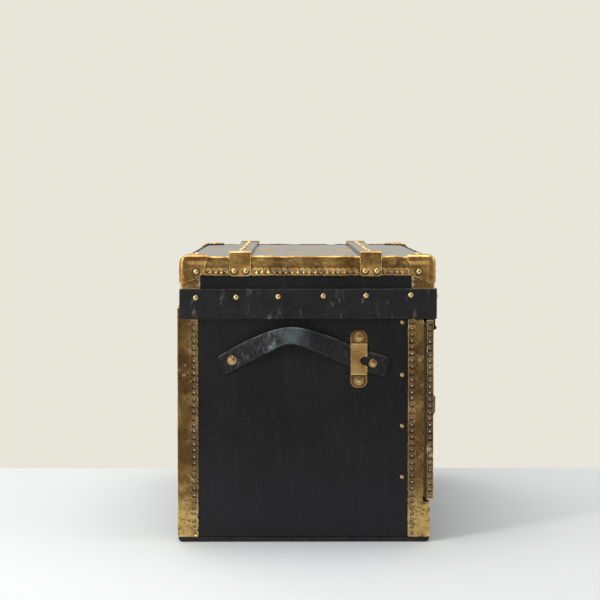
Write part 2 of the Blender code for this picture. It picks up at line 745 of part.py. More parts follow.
def build_cap(name, sx, outer_y, inward, stops, edge, bend):
    end = HALF_LENGTH + CAP_SKIN
    top = LID_TOP + CAP_SKIN
    bm = bmesh.new()
    for flat in range(3):
        grid = {}
        for i, s in enumerate(stops):
            for j, t in enumerate(stops):
                inset = list(leaf(s, t))
                inset.insert(flat, 0.0)
                a, b, c = wrapped(*inset, edge, bend)
                grid[i, j] = bm.verts.new((sx * (end - a), outer_y + inward * b, top - c))
        for i in range(len(stops) - 1):
            for j in range(len(stops) - 1):
                bm.faces.new((grid[i, j], grid[i + 1, j], grid[i + 1, j + 1], grid[i, j + 1]))
    bmesh.ops.remove_doubles(bm, verts=bm.verts, dist=0.00002)
    face_away_from(bm, (sx * 0.40, outer_y + inward * 0.06, 0.58))
    item = place(name, bm, "brass")
    sheet_thickness(item)
    rivet_on(item, [
        ((sx * end, outer_y + inward * CAP_RIVET, top - CAP_RIVET), (sx, 0, 0), *CAP_RIVET_SIZE),
        ((sx * (end - CAP_RIVET), outer_y, top - CAP_RIVET), (0, -inward, 0), *CAP_RIVET_SIZE),
        ((sx * (end - CAP_RIVET), outer_y + inward * CAP_RIVET, top), (0, 0, 1),
         *CAP_RIVET_SIZE)])


def build_slats():
    end = HALF_LENGTH - 0.0025
    rebate = END_FACE - TOP_LEG
    outline = [(-end, LID_TOP + GAP), (-rebate, LID_TOP + GAP), (-rebate, LID_TOP_FACE + GAP),
               (rebate, LID_TOP_FACE + GAP), (rebate, LID_TOP + GAP), (end, LID_TOP + GAP),
               (end, SLAT_TOP), (-end, SLAT_TOP)]
    for name, y in (("front", -SLAT_Y), ("back", SLAT_Y)):
        bm = bmesh.new()
        add_prism(bm, outline, "y", y - SLAT_WIDTH / 2, y + SLAT_WIDTH / 2)
        place(f"lid_slat_{name}", bm, "wood")

    face = HALF_LENGTH + SKIN
    top = SLAT_TOP + GAP + SHEET
    bend = 0.003
    for name, sx, y in (("front_left", -1, -SLAT_Y), ("front_right", 1, -SLAT_Y),
                        ("back_left", -1, SLAT_Y), ("back_right", 1, SLAT_Y)):
        turn = arc((sx * (face - bend), top - bend), bend, 180 if sx < 0 else 0, 90, 4)
        line = [(sx * face, CLAMP_LOW)] + turn + [(sx * (face - CLAMP_REACH), top)]
        bm = bmesh.new()
        add_prism(bm, ribbon(line, sx * SHEET), "y", y - CLAMP_WIDTH / 2, y + CLAMP_WIDTH / 2)
        item = place(f"slat_clamp_{name}", bm, "brass")
        half = CLAMP_WIDTH / 2
        foot = CLAMP_LOW + CLAMP_CORNER
        outline = [(y + half, top + 0.01), (y - half, top + 0.01)]
        outline += arc((y - half + CLAMP_CORNER, foot), CLAMP_CORNER, 180, 270, 4)
        outline += arc((y + half - CLAMP_CORNER, foot), CLAMP_CORNER, 270, 360, 4)
        span = sorted((sx * (face + 0.01), sx * (face - CLAMP_REACH - 0.01)))
        bm = bmesh.new()
        add_prism(bm, outline, "x", *span)
        apply_boolean(item, "INTERSECT", place("clamp_outline", bm, "brass"))
        rivet_on(item, [((sx * face, y + dy, CLAMP_RIVET_Z), (sx, 0, 0), *CAP_RIVET_SIZE)
                        for dy in (-CLAMP_RIVET_Y, CLAMP_RIVET_Y)])


# ---- valance ------------------------------------------------------------------------------
def build_band():
    """Leather valance round the front and the ends: thick where it lies on the lid, thin
    where it hangs over the seam."""
    corner = 0.005
    lid_side = LID_FRONT_FACE - GAP
    end_side = END_FACE + GAP
    hang_end = HALF_LENGTH + BAND_STANDOFF
    hang_front = BAND_FRONT_FACE + BAND_LEATHER
    outline = [(-end_side, BAND_BACK), (-BAND_END_FACE, BAND_BACK)]
    outline += arc((-BAND_END_FACE + corner, BAND_FRONT_FACE + corner), corner, 180, 270, 4)
    outline += arc((BAND_END_FACE - corner, BAND_FRONT_FACE + corner), corner, 270, 360, 4)
    outline += [(BAND_END_FACE, BAND_BACK), (end_side, BAND_BACK), (end_side, lid_side),
                (-end_side, lid_side)]
    bm = bmesh.new()
    add_prism(bm, outline, "z", BAND_LOW, BAND_HIGH)
    item = place("lid_band", bm, "black_leather")
    bm = bmesh.new()
    add_box(bm, (-hang_end, hang_front, BAND_LOW - 0.01), (hang_end, BAND_BACK + 0.01, BAND_LIP))
    recess = place("band_recess", bm, "black_leather")
    apply_boolean(item, "DIFFERENCE", recess)


# ---- front panel --------------------------------------------------------------------------
def build_door():
    board("door_panel", (-END_FACE, DOOR_FACE, DOOR_BOTTOM), (END_FACE, DOOR_BACK - SKIN, DOOR_TOP),
          "black_cloth")
    plug_side = END_FACE - BOARD - 0.004
    board("door_lining", (-plug_side, DOOR_BACK - SKIN + GAP, DOOR_BOTTOM + 0.002),
          (plug_side, CASE_FRONT - 0.0009, DOOR_TOP - 0.004), "lining", 0.001)
    front_return = 0.030
    back_return = 0.007
    line = [(HALF_LENGTH - front_return, DOOR_FRONT)]
    line += arc((HALF_LENGTH - 0.003, DOOR_FRONT + 0.003), 0.003, 270, 360, 4)
    line += arc((HALF_LENGTH - 0.003, DOOR_BACK - 0.003), 0.003, 0, 90, 4)
    line += [(HALF_LENGTH - back_return, DOOR_BACK)]
    for side, mirrored in BOTH_ENDS:
        bm = bmesh.new()
        add_prism(bm, ribbon(line, SHEET), "z", DOOR_BOTTOM + GAP, DOOR_TOP - GAP)
        place(f"door_brass_{side}", bm, "brass", mirrored=mirrored, smooth=True)


def build_lock():
    """Lock box under the valance, a swinging keyhole cover, and the hasp on the lid above."""
    half = 0.040
    top = DOOR_TOP - 0.0008
    low = top - 0.050
    face = DOOR_FACE - GAP - 0.0080
    corner = 0.008
    outline = [(half, top), (-half, top)]
    outline += arc((-half + corner, low + corner), corner, 180, 270, 4)
    outline += arc((half - corner, low + corner), corner, 270, 360, 4)
    bm = bmesh.new()
    add_prism(bm, outline, "y", face, DOOR_FACE - GAP)
    item = place("lock_case", bm, "brass")
    bm = bmesh.new()
    keyhole_z = low + 0.017
    add_prism(bm, arc((0.0, keyhole_z), 0.0024, 0, 330, 11), "y", face - 0.001, face + 0.005)
    hole = place("keyhole", bm, "brass")
    bm = bmesh.new()
    add_box(bm, (-0.0011, face - 0.001, keyhole_z - 0.007), (0.0011, face + 0.005, keyhole_z))
    slot = place("keyhole_slot", bm, "brass")
    apply_boolean(item, "DIFFERENCE", hole, slot)

    pivot = (0.0, face - GAP, low + 0.031)
    outline = arc((0.0, pivot[2]), 0.0055, 20, 160, 6)
    outline += arc((0.0, keyhole_z - 0.001), 0.0085, 180, 360, 8)
    bm = bmesh.new()
    add_prism(bm, outline, "y", pivot[1] - 0.0014, pivot[1])
    cover = place("keyhole_cover", bm, "brass", pivot)
    bm = bmesh.new()
    add_dome(bm, (0.0, pivot[1] - 0.0010, pivot[2]), (0, -1, 0), 0.0030, 0.0024, sides=10)
    head = place("cover_rivet", bm, "brass")
    apply_boolean(cover, "UNION", head)


def build_hasp():
    """Hasp hinged on the lid, in front of the valance, with its pin in the plate above."""
    radius = 0.0030
    sheet = 0.0014
    width = 0.042
    back = BAND_FRONT_FACE - GAP - HASP_AXIS[0]
    plate = [(back, 0.034), (back, 0.0045)]
    plate_knuckle = [(back, 0.034), (back, 0.0050), (radius, 0.0008)] + curl(radius, 0, -280)
    hinge_leaf("hasp_plate", HASP_AXIS, 0.0, width, plate, plate_knuckle, (0, 2), -sheet,
               radius - sheet - GAP)
    foot = BAND_LOW + 0.0002 - HASP_AXIS[1]
    blade = [(-radius, foot), (-radius, -0.0045)]
    knuckle = [(-radius, foot), (-radius, 0.0)] + curl(radius, 170, -270)
    hinge_leaf("hasp", HASP_AXIS, 0.0, width, blade, knuckle, (1,), -sheet)


def build_latches():
    """Fork latches near the ends: a base with two lugs on the panel, a lever up the front of
    the valance, and a plain strike pin on the lid between the fork's prongs."""
    y, z = LATCH_AXIS
    base_back = DOOR_FACE - GAP
    half = 0.0165
    lug = 0.0035
    lever_half = half - lug - 0.0006
    slot_half = 0.0050
    slot_foot = 0.5275
    top = 0.5480
    back = -0.2906
    front = back - 0.0038
    for side, sx in (("left", -1), ("right", 1)):
        x = sx * LATCH_X
        bm = bmesh.new()
        add_box(bm, (x - half, base_back - 0.002, 0.4525), (x + half, base_back, 0.4875))
        base = place(f"latch_base_{side}", bm, "steel")
        lug_outline = [(base_back - 0.001, 0.4785), (base_back - 0.001, 0.4535)]
        lug_outline += arc((y, z), 0.0047, 270, 90, 6)
        parts = []
        for edge, inner in ((x - half, x - half + lug), (x + half - lug, x + half)):
            bm = bmesh.new()
            add_prism(bm, lug_outline, "x", edge, inner)
            parts.append(place("latch_lug", bm, "steel"))
        apply_boolean(base, "UNION", *parts)

        bm = bmesh.new()
        outline = [(x - lever_half, z), (x + lever_half, z), (x + lever_half, top),
                   (x + slot_half, top)]
        outline += arc((x, slot_foot + slot_half), slot_half, 0, -180, 8)
        outline += [(x - slot_half, top), (x - lever_half, top)]
        add_prism(bm, outline, "y", front, back)
        lever = place(f"latch_lever_{side}", bm, "steel", (x, y, z))
        bm = bmesh.new()
        add_prism(bm, arc((y, z), 0.0042, 0, 330, 11), "x", x - lever_half, x + lever_half)
        barrel = place("lever_barrel", bm, "steel", (x, y, z))
        apply_boolean(lever, "UNION", barrel)
        shade(lever)

        bm = bmesh.new()
        add_prism(bm, arc((x, slot_foot + slot_half), 0.0034, 0, 330, 11), "y",
                  front - 0.0015, BAND_FRONT_FACE - GAP)
        place(f"latch_strike_{side}", bm, "brass", smooth=True)


def build_front_handle():
    """Third handle, on the front panel, riveted at both ends."""
    flat = DOOR_FACE - GAP
    swell = 0.038
    foot = 0.2110
    rise = 0.0370
    knots = [(-0.125, flat, foot - 0.003), (-0.105, flat, foot + 0.003),
             (-0.070, flat - swell * 0.60, foot + rise * 0.55),
             (-0.025, flat - swell, foot + rise), (0.025, flat - swell, foot + rise),
             (0.070, flat - swell * 0.60, foot + rise * 0.55),
             (0.105, flat, foot + 0.003), (0.125, flat, foot - 0.003)]
    strap = build_strap("front_handle_strap", strap_points(knots, 4, (1, flat, -1)), (0, -1, 0),
                        FRONT_HANDLE_WIDTH, HANDLE_THICK, (0.0, flat, foot),
                        tips=("start", "end"))
    rivet_on(strap, [((sx * 0.112, flat - HANDLE_THICK, foot + 0.001), (0, -1, 0),
                      *HANDLE_RIVET) for sx in (-1, 1)], 12)


def build_trunk():
    clear_scene()
    build_case_boards()
    build_case_lining()
    build_case_brass()
    build_end_handles()
    build_lid_boards()
    build_lid_brass()
    build_caps()
    build_slats()
    build_band()
    build_lid_hinges()
    build_door()
    build_door_hinges()
    build_lock()
    build_hasp()
    build_latches()
    build_front_handle()


build_trunk()
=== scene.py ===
import json
import math
import random

import bmesh
import bpy
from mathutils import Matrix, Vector, noise
from mathutils.kdtree import KDTree


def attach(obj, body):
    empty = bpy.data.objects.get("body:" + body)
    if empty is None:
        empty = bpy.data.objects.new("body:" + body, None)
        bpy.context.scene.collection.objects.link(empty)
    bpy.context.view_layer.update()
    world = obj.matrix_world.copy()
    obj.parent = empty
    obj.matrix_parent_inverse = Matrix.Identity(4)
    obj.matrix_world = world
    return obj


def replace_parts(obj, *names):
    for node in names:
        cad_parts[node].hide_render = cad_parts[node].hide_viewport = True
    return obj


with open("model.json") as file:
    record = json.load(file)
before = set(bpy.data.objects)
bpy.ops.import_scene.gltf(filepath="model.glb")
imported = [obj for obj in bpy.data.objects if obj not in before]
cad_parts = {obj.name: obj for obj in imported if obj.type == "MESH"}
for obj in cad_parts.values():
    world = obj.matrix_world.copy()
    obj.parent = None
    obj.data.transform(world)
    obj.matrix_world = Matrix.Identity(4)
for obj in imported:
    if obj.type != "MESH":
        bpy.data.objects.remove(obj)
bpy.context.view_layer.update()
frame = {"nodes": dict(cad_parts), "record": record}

noise.seed_set(7)              # noise_vector differs from run to run without a seed
NODES = frame["nodes"]
SIDES = (("left", -1), ("right", 1))

# ---- sizes, in metres ----------------------------------------------------------------------
END = 0.450                    # face of the brass on either end
PANEL = 0.4485                 # face of the cloth on either end
CASE_BACK = 0.2818
SILL_FRONT = -0.2748
DOOR_FRONT = -0.2814
LID_BACK = 0.2748
LID_FRONT = -0.2836
LID_TOP = 0.632
BAND_END = 0.4543
BAND_FRONT = -0.2889
EDGING_LOW = 0.590
BAND_TOP = 0.5595
SLAT_Y = 0.1437
SLAT_TOP = 0.6395

TACK_PITCH = 0.0142
TACK_RADIUS = 0.0025
TACK_HEIGHT = 0.0014
EDGING_PITCH = 0.0130
EDGING_TACK = 0.0021           # radius of the tacks along the lid
EDGING_ROW = 0.5980            # height of their row
STUD_RADIUS = 0.0060
STUD_HEIGHT = 0.0045
CAP_LEAF = 0.0018              # how far a cap stands outside the faces it covers
CAP_END = END + CAP_LEAF
CAP_TOP = LID_TOP + CAP_LEAF
CAP_RIVET = (0.0064, 0.0048)   # radius and height
CAP_RIVET_INSET = 0.0365
CLAMP_END = END + 0.0015
CLAMP_RIVET_Z = 0.5985
STRAP_THICK = 0.0047
STRAP_TIP = 0.011              # radius of a strap's rounded corners
GROOVE = 0.0042                # from a strap's edge to its stitches
KEEPER_Y = -0.1173
KEEPER_Z = 0.405
TAIL_FROM, TAIL_TO = -0.0345, 0.0235


# ---- materials ----------------------------------------------------------------------------
class Nodes:
    """Builder of a node tree."""

    def __init__(self, tree):
        self.tree = tree

    def node(self, kind, *values, **named):
        made = self.tree.nodes.new(kind)
        for key, value in list(enumerate(values)) + list(named.items()):
            self.feed(made.inputs[key], value)
        return made

    def feed(self, socket, value):
        if isinstance(value, bpy.types.NodeSocket):
            self.tree.links.new(value, socket)
        elif value is not None:
            socket.default_value = value

    def math(self, operation, *values):
        made = self.node("ShaderNodeMath", *values)
        made.operation = operation
        return made.outputs[0]

    def times(self, a, b):
        return self.math("MULTIPLY", a, b)

    def away_from(self, value, centre):
        return self.math("ABSOLUTE", self.math("SUBTRACT", value, centre))

    def step(self, value, low, high):
        """A smooth step of the value: 0 at low, 1 at high, which may be the lower number."""
        made = self.node("ShaderNodeMapRange", value)
        made.interpolation_type = "SMOOTHSTEP"
        made.inputs["From Min"].default_value = low
        made.inputs["From Max"].default_value = high
        return made.outputs[0]

    def between(self, value, low, high):
        """The value, from 0 to 1, spread from low to high."""
        made = self.node("ShaderNodeMapRange", value)
        made.inputs["To Min"].default_value = low
        made.inputs["To Max"].default_value = high
        return made.outputs[0]

    def mix(self, share, a, b):
        made = self.node("ShaderNodeMix")
        made.data_type = "RGBA"
        self.feed(made.inputs[0], share)
        self.feed(made.inputs[6], a if isinstance(a, bpy.types.NodeSocket) else (*a, 1.0))
        self.feed(made.inputs[7], b if isinstance(b, bpy.types.NodeSocket) else (*b, 1.0))
        return made.outputs[2]

    def tint(self, colour, share, strength, other):
        """The colour, taken towards another one by a strength times a share."""
        return self.mix(self.times(share, strength), colour, other)


class Finish(Nodes):
    """A node material. Its coordinates are the trunk's own, because pieces have no offset."""

    def __init__(self, name, roughness=0.5, metallic=0.0):
        self.material = bpy.data.materials.new(name)
        self.material.use_nodes = True
        super().__init__(self.material.node_tree)
        self.shader = self.tree.nodes["Principled BSDF"]
        self.set("Roughness", roughness)
        self.set("Metallic", metallic)
        self.place = self.node("ShaderNodeTexCoord").outputs["Object"]
        self.normal = None

    def set(self, name, value):
        self.feed(self.shader.inputs[name], value)

    def stretched(self, scale, turn=(0, 0, 0)):
        return self.node("ShaderNodeMapping", Vector=self.place, Scale=scale,
                         Rotation=turn).outputs[0]

    def noise(self, scale, detail=4.0, roughness=0.55, place=None, distortion=0.0):
        return self.node("ShaderNodeTexNoise", Vector=place or self.place, Scale=scale,
                         Detail=detail, Roughness=roughness,
                         Distortion=distortion).outputs[0]

    def patches(self, low, high, *noise):
        """Patches of noise, with soft edges between two levels."""
        return self.step(self.noise(*noise), low, high)

    def cells(self, scale):
        return self.node("ShaderNodeTexVoronoi", Vector=self.place,
                         Scale=scale).outputs["Distance"]

    def axis(self, number):
        """One coordinate of the place: 0, 1 or 2 for X, Y or Z."""
        return self.node("ShaderNodeSeparateXYZ", self.place).outputs[number]

    def pointiness(self):
        return self.node("ShaderNodeNewGeometry").outputs["Pointiness"]

    def bump(self, height, distance, strength=1.0):
        made = self.node("ShaderNodeBump", Strength=strength, Distance=distance,
                         Height=height)
        if self.normal is not None:
            self.tree.links.new(self.normal, made.inputs["Normal"])
        self.normal = made.outputs[0]
        self.set("Normal", self.normal)


def cloth_finish(name, ornament=False):
    """Black book cloth on board: a fine weave, soft blotches, specks of dust and scuffs. The
    lid's is polished, without a weave, and has a painted oval."""
    f = Finish(name)
    blotch = f.noise(7.0, 5.0, 0.6)
    colour = f.mix(f.step(blotch, 0.35, 0.7), (0.0035, 0.0035, 0.0040),
                   (0.0080, 0.0080, 0.0094))
    colour = f.tint(colour, f.step(f.axis(2), 0.30, 0.0), 0.60, (0.0190, 0.0185, 0.0235))
    grain = f.noise(330.0, 4.0, 0.7, f.stretched((1.0, 1.0, 0.55)))
    colour = f.tint(colour, f.step(grain, 0.46, 0.66), 0.42, (0.034, 0.034, 0.038))
    fibre = f.noise(60.0, 6.0, 0.75, f.stretched((1.0, 1.0, 0.16)))
    colour = f.tint(colour, f.step(fibre, 0.50, 0.78), 0.30, (0.042, 0.042, 0.047))
    specks = f.step(f.cells(190.0), 0.16, 0.04)
    sparse = f.patches(0.57, 0.68, 45.0, 2.0)
    colour = f.tint(colour, f.times(specks, sparse), 0.60, (0.20, 0.20, 0.20))
    scuffs = f.patches(0.64, 0.78, 26.0, 8.0, 0.7, f.stretched((1.0, 0.25, 2.4), (0.5, 0.2, 0.1)))
    colour = f.tint(colour, scuffs, 0.26, (0.10, 0.10, 0.105))
    gloss, rough, fine, coarse = 0.22, (0.42, 0.66), 0.45, 0.40
    if ornament:
        gold = oval_line(f)
        colour = f.mix(gold, colour, (0.42, 0.255, 0.085))
        gloss, rough, fine, coarse = f.between(gold, 0.85, 0.0), (0.14, 0.30), 0.15, 0.12
    else:
        threads = [f.noise(1500.0, 1.0, 0.5, f.stretched(scale))
                   for scale in ((0.02, 1.0, 0.02), (0.02, 0.02, 1.0), (1.0, 0.02, 0.02))]
        weave = f.math("ADD", f.math("ADD", threads[0], threads[1]), threads[2])
        f.bump(weave, 0.00012, 0.55)
    f.set("Base Color", colour)
    f.set("Roughness", f.between(f.noise(18.0, 5.0), *rough))
    f.set("Specular IOR Level", gloss)
    f.bump(f.noise(120.0, 5.0, 0.6), 0.00030, fine)
    f.bump(f.noise(9.0, 3.0), 0.0025, coarse)
    return f.material


def oval_line(f):
    """Share of gold at a point: a plain painted oval, rubbed away in places."""
    lines = []
    for half_x, half_y, half_line in ((0.185, 0.106, 0.125), (0.145, 0.080, 0.016)):
        squares = [f.math("POWER", f.math("ABSOLUTE", f.math("DIVIDE", f.axis(n), half)), 2.0)
                   for n, half in enumerate((half_x, half_y))]
        off = f.away_from(f.math("SQRT", f.math("ADD", *squares)), 1.0)
        lines.append(f.step(off, half_line, half_line * 0.8))
    rubbed = f.patches(0.36, 0.50, 55.0, 5.0, 0.7)
    return f.times(f.math("MAXIMUM", *lines), rubbed)


def brass_finish(name, tone_and_painted_light=1.0, warm=1.0, foot_wear_and_reflection=True, tabs=False):
    """Aged sheet brass: brown film, edges and patches rubbed bright, lighter towards the foot,
    partly wear and partly a painted reflection of the pale floor, with pits there.
    tone lightens the film and warm reddens it; the tones given below are partly painted light,
    lighter for parts that catch more light. tabs makes the keeper's tabs browner than its bridge."""
    f = Finish(name, 0.34, 1.0)

    def shade(red, green, blue, own=tone_and_painted_light):
        return tuple(min(0.95, own * one) for one in (red, green * warm, blue * warm ** 2))

    film = f.noise(13.0, 8.0, 0.66)
    streak = f.noise(64.0, 7.0, 0.70, f.stretched((1.0, 1.0, 0.30)))
    colour = f.mix(f.step(film, 0.40, 0.62), shade(0.190, 0.106, 0.034),
                   shade(0.450, 0.280, 0.098))
    colour = f.tint(colour, f.step(streak, 0.48, 0.66), 0.60, shade(0.125, 0.070, 0.026))
    rubbed = f.patches(0.56, 0.66, 21.0, 9.0, 0.74)
    colour = f.tint(colour, rubbed, 0.72, shade(0.80, 0.57, 0.27, 1.0))
    stain = f.patches(0.60, 0.70, 31.0, 9.0, 0.74, f.stretched((0.8, 1.3, 0.9), (0.4, 0.9, 0.2)))
    colour = f.tint(colour, stain, 0.75, shade(0.060, 0.034, 0.016))
    rough = f.between(f.noise(42.0, 6.0, 0.65), 0.16, 0.40)
    metal = f.between(f.step(streak, 0.40, 0.75), 1.0, 0.70)
    if tabs:
        off = f.away_from(f.axis(2), KEEPER_Z)
        colour = f.tint(colour, f.step(off, 0.0325, 0.0340), 0.62, (0.15, 0.088, 0.035))
    if foot_wear_and_reflection:
        # Lighter towards the foot: partly wear, partly a painted reflection of the pale floor.
        low = f.step(f.math("ADD", f.axis(2), f.times(f.noise(30.0, 5.0), 0.12)), 0.185, 0.120)
        colour = f.tint(colour, low, 0.80, (0.74, 0.50, 0.18))
        pits = f.step(f.cells(260.0), 0.36, 0.20)
        pitted = f.patches(0.42, 0.56, 48.0, 4.0, 0.6)
        marks = f.patches(0.565, 0.63, 34.0, 9.0, 0.75, f.stretched((1.0, 0.55, 2.2)))
        spots = f.math("MAXIMUM", f.times(pits, pitted), marks)
        spots = f.times(spots, f.between(low, 0.22, 0.95))
        colour = f.mix(spots, colour, (0.035, 0.020, 0.011))
        rough = f.math("ADD", rough, f.times(spots, 0.35))
    edges = f.pointiness()
    colour = f.tint(colour, f.step(edges, 0.515, 0.56), 0.80, shade(0.92, 0.70, 0.33, 1.0))
    colour = f.tint(colour, f.step(edges, 0.485, 0.44), 0.80, (0.075, 0.044, 0.018))
    f.set("Base Color", colour)
    f.set("Roughness", rough)
    f.set("Metallic", metal)
    f.bump(f.noise(260.0, 6.0, 0.7), 0.00018, 0.7)
    f.bump(f.noise(60.0, 5.0, 0.62), 0.0011, 0.65)
    return f.material


def plain_metal(name, dark, light, roughness, scale=300.0):
    f = Finish(name, roughness, 1.0)
    f.set("Base Color", f.mix(f.patches(0.35, 0.65, scale, 4.0), dark, light))
    f.set("Roughness", f.between(f.noise(scale * 0.7, 4.0), roughness - 0.1,
                                 roughness + 0.15))
    f.bump(f.noise(scale * 2.0, 3.0), 0.00008, 0.5)
    return f.material


def leather_finish(name, rim):
    """Black harness leather: pebbled grain, fine creases and grey scuffs, pale along a rim between
    two heights, partly wear and partly a painted highlight on the rim's top."""
    f = Finish(name)
    base = f.mix(f.patches(0.35, 0.70, 22.0, 6.0, 0.65), (0.0035, 0.0035, 0.0041),
                 (0.0110, 0.0110, 0.0124))
    worn = f.patches(0.58, 0.74, 75.0, 8.0, 0.75)
    base = f.tint(base, worn, 0.40, (0.080, 0.076, 0.078))
    scratch = f.patches(0.56, 0.70, 30.0, 9.0, 0.75, f.stretched((1.0, 1.5, 0.5), (0.3, 0.0, 0.0)))
    base = f.tint(base, scratch, 0.85, (0.19, 0.186, 0.188))
    # Pale rim: partly wear, partly a painted highlight on the top edge.
    edge = f.times(f.step(f.axis(2), *rim), f.patches(0.30, 0.60, 70.0, 6.0, 0.7))
    base = f.tint(base, edge, 0.75, (0.12, 0.115, 0.115))
    f.set("Base Color", base)
    f.set("Roughness", f.between(f.noise(40.0, 5.0), 0.32, 0.58))
    f.set("Specular IOR Level", 0.38)
    f.bump(f.cells(900.0), 0.00016, 0.45)
    f.bump(f.noise(170.0, 6.0, 0.65), 0.00055, 0.55)
    f.bump(f.noise(34.0, 3.0), 0.0018, 0.45)
    return f.material


def strap_finish(name):
    """Handle leather: creased across, glossier over the arch with a painted blue-grey sheen and
    gleam there, scuffed to grey on its creases, browned where the surface is gone, and pale on its
    upward-facing edges, partly wear and partly a painted highlight."""
    f = Finish(name)
    base = f.mix(f.patches(0.35, 0.70, 26.0, 6.0, 0.65), (0.0045, 0.0045, 0.0052),
                 (0.0120, 0.0120, 0.0132))
    creases = f.noise(60.0, 7.0, 0.72, f.stretched((1.0, 3.6, 0.9), (0.42, 0.0, 0.0)))
    near_stud = f.step(f.away_from(f.axis(1), 0.105), 0.075, 0.020)
    ridges = f.times(f.step(creases, 0.50, 0.64), f.between(near_stud, 0.35, 1.0))
    base = f.tint(base, ridges, 0.62, (0.115, 0.110, 0.125))
    # Painted blue-grey sheen over the arch; the arch is also made glossier further down.
    arch = f.times(f.step(f.away_from(f.axis(1), 0.036), 0.062, 0.008),
                   f.patches(0.30, 0.62, 20.0, 6.0, 0.6))
    base = f.tint(base, arch, 0.85, (0.086, 0.110, 0.124))
    gleam = f.times(f.step(f.away_from(f.axis(1), 0.074), 0.012, 0.002),
                    f.patches(0.4, 0.6, 50.0, 4.0))
    base = f.tint(base, gleam, 0.80, (0.23, 0.27, 0.30))
    bare = f.patches(0.665, 0.70, 85.0, 6.0, 0.7, f.stretched((1.0, 1.0, 1.0), (0.0, 0.0, 0.6)))
    base = f.tint(base, bare, 0.55, (0.085, 0.055, 0.038))
    edges = f.pointiness()
    # Edges facing up are made paler: partly wear, partly a painted highlight.
    upper = f.node("ShaderNodeSeparateXYZ",
                   f.node("ShaderNodeNewGeometry").outputs["Normal"]).outputs[2]
    worn = f.times(f.step(upper, 0.05, 0.35), f.patches(0.38, 0.58, 45.0, 6.0))
    base = f.tint(base, f.times(f.step(edges, 0.512, 0.55), worn), 0.60, (0.21, 0.21, 0.215))
    f.set("Base Color", base)
    rough = f.between(f.noise(40.0, 5.0), 0.38, 0.60)
    f.set("Roughness", f.math("SUBTRACT", rough, f.times(arch, 0.20)))
    f.set("Specular IOR Level", f.between(arch, 0.28, 0.60))
    f.bump(f.cells(900.0), 0.00014, 0.4)
    f.bump(creases, 0.0013, 0.95)
    f.bump(f.noise(170.0, 6.0, 0.65), 0.00045, 0.5)
    return f.material


def wood_finish(name, polished=False):
    """Wood stained black and rubbed, with its grain along X. The slats' is polished too."""
    f = Finish(name)
    grain = f.noise(120.0, 7.0, 0.65, f.stretched((0.05, 1.0, 1.0)), 0.4)
    colour = f.mix(f.step(grain, 0.38, 0.66), (0.011, 0.0095, 0.0085), (0.034, 0.029, 0.025))
    chips = f.patches(0.62, 0.72, 60.0, 8.0, 0.75, f.stretched((0.3, 1.0, 1.0)))
    colour = f.tint(colour, chips, 0.55, (0.13, 0.105, 0.080))
    f.set("Base Color", colour)
    f.set("Roughness", f.between(grain, *((0.14, 0.32) if polished else (0.45, 0.70))))
    f.set("Specular IOR Level", 0.95 if polished else 0.30)
    f.bump(grain, 0.0003, 0.35)
    if polished:
        f.bump(f.noise(420.0, 3.0), 0.0003, 0.30)
    return f.material


def lining_finish(name):
    """Buff lining cloth with a plain weave, yellowed in patches."""
    f = Finish(name, 0.9)
    colour = f.mix(f.patches(0.35, 0.70, 5.0, 5.0), (0.36, 0.29, 0.19),
                   (0.48, 0.41, 0.30))
    f.set("Base Color", f.tint(colour, f.patches(0.58, 0.70, 28.0, 6.0, 0.7), 0.4,
                               (0.24, 0.17, 0.10)))
    f.set("Sheen Weight", 0.25)
    threads = f.math("ADD", f.noise(900.0, 1.0, 0.5, f.stretched((0.02, 1.0, 1.0))),
                     f.noise(900.0, 1.0, 0.5, f.stretched((1.0, 1.0, 0.02))))
    f.bump(threads, 0.00025, 0.7)
    f.bump(f.noise(14.0, 4.0), 0.002, 0.4)
    return f.material


def thread_finish(name):
    """Waxed thread, dark grey and paler in patches."""
    f = Finish(name, 0.6)
    f.set("Base Color", f.mix(f.patches(0.4, 0.65, 240.0, 4.0), (0.022, 0.021, 0.020),
                              (0.10, 0.095, 0.088)))
    f.bump(f.noise(1400.0, 2.0, 0.5, f.stretched((1.0, 0.4, 1.0))), 0.00015, 0.6)
    return f.material


# Dark brown grime, also used as painted shade: the rings round tacks and studs, and the beads
# beside the caps and clamps.
def grime_and_shade_finish(name):
    f = Finish(name, 0.75)
    f.set("Base Color", f.mix(f.noise(500.0), (0.010, 0.007, 0.005), (0.045, 0.030, 0.018)))
    f.bump(f.noise(900.0), 0.0001, 0.5)
    return f.material


CLOTH = cloth_finish("black_cloth_worn")
LID_CLOTH = cloth_finish("lid_cloth_worn", ornament=True)
# The tones differ from part to part partly as painted light: the lid's edging, caps and clamps are
# made lighter where they catch more light.
BRASS = brass_finish("sheet_brass", 0.74, 0.97)
FRONT_BRASS = brass_finish("sheet_brass_front", 0.86, 0.97)
LID_BRASS = brass_finish("sheet_brass_lid", 1.60, 0.96, foot_wear_and_reflection=False)
CAP_BRASS = brass_finish("cap_brass", 1.9, 0.94, foot_wear_and_reflection=False)
CLAMP_BRASS = brass_finish("clamp_brass", 2.2, 0.93, foot_wear_and_reflection=False)
CAST_BRASS = brass_finish("stamped_brass", 1.4, foot_wear_and_reflection=False)
KEEPER_BRASS = brass_finish("keeper_brass", 1.30, 0.86, foot_wear_and_reflection=False, tabs=True)
STUD_BRASS = plain_metal("stud_brass", (0.62, 0.42, 0.15), (0.86, 0.64, 0.30), 0.24)
PIN_BRASS = plain_metal("pin_brass", (0.44, 0.275, 0.115), (0.72, 0.50, 0.235), 0.28)
TACK = plain_metal("tack_steel", (0.20, 0.195, 0.20), (0.52, 0.51, 0.53), 0.34)
STEEL = plain_metal("japanned_steel", (0.010, 0.010, 0.011), (0.040, 0.038, 0.036), 0.40, 120.0)
LEATHER = leather_finish("valance_leather", rim=(0.5575, 0.5592))
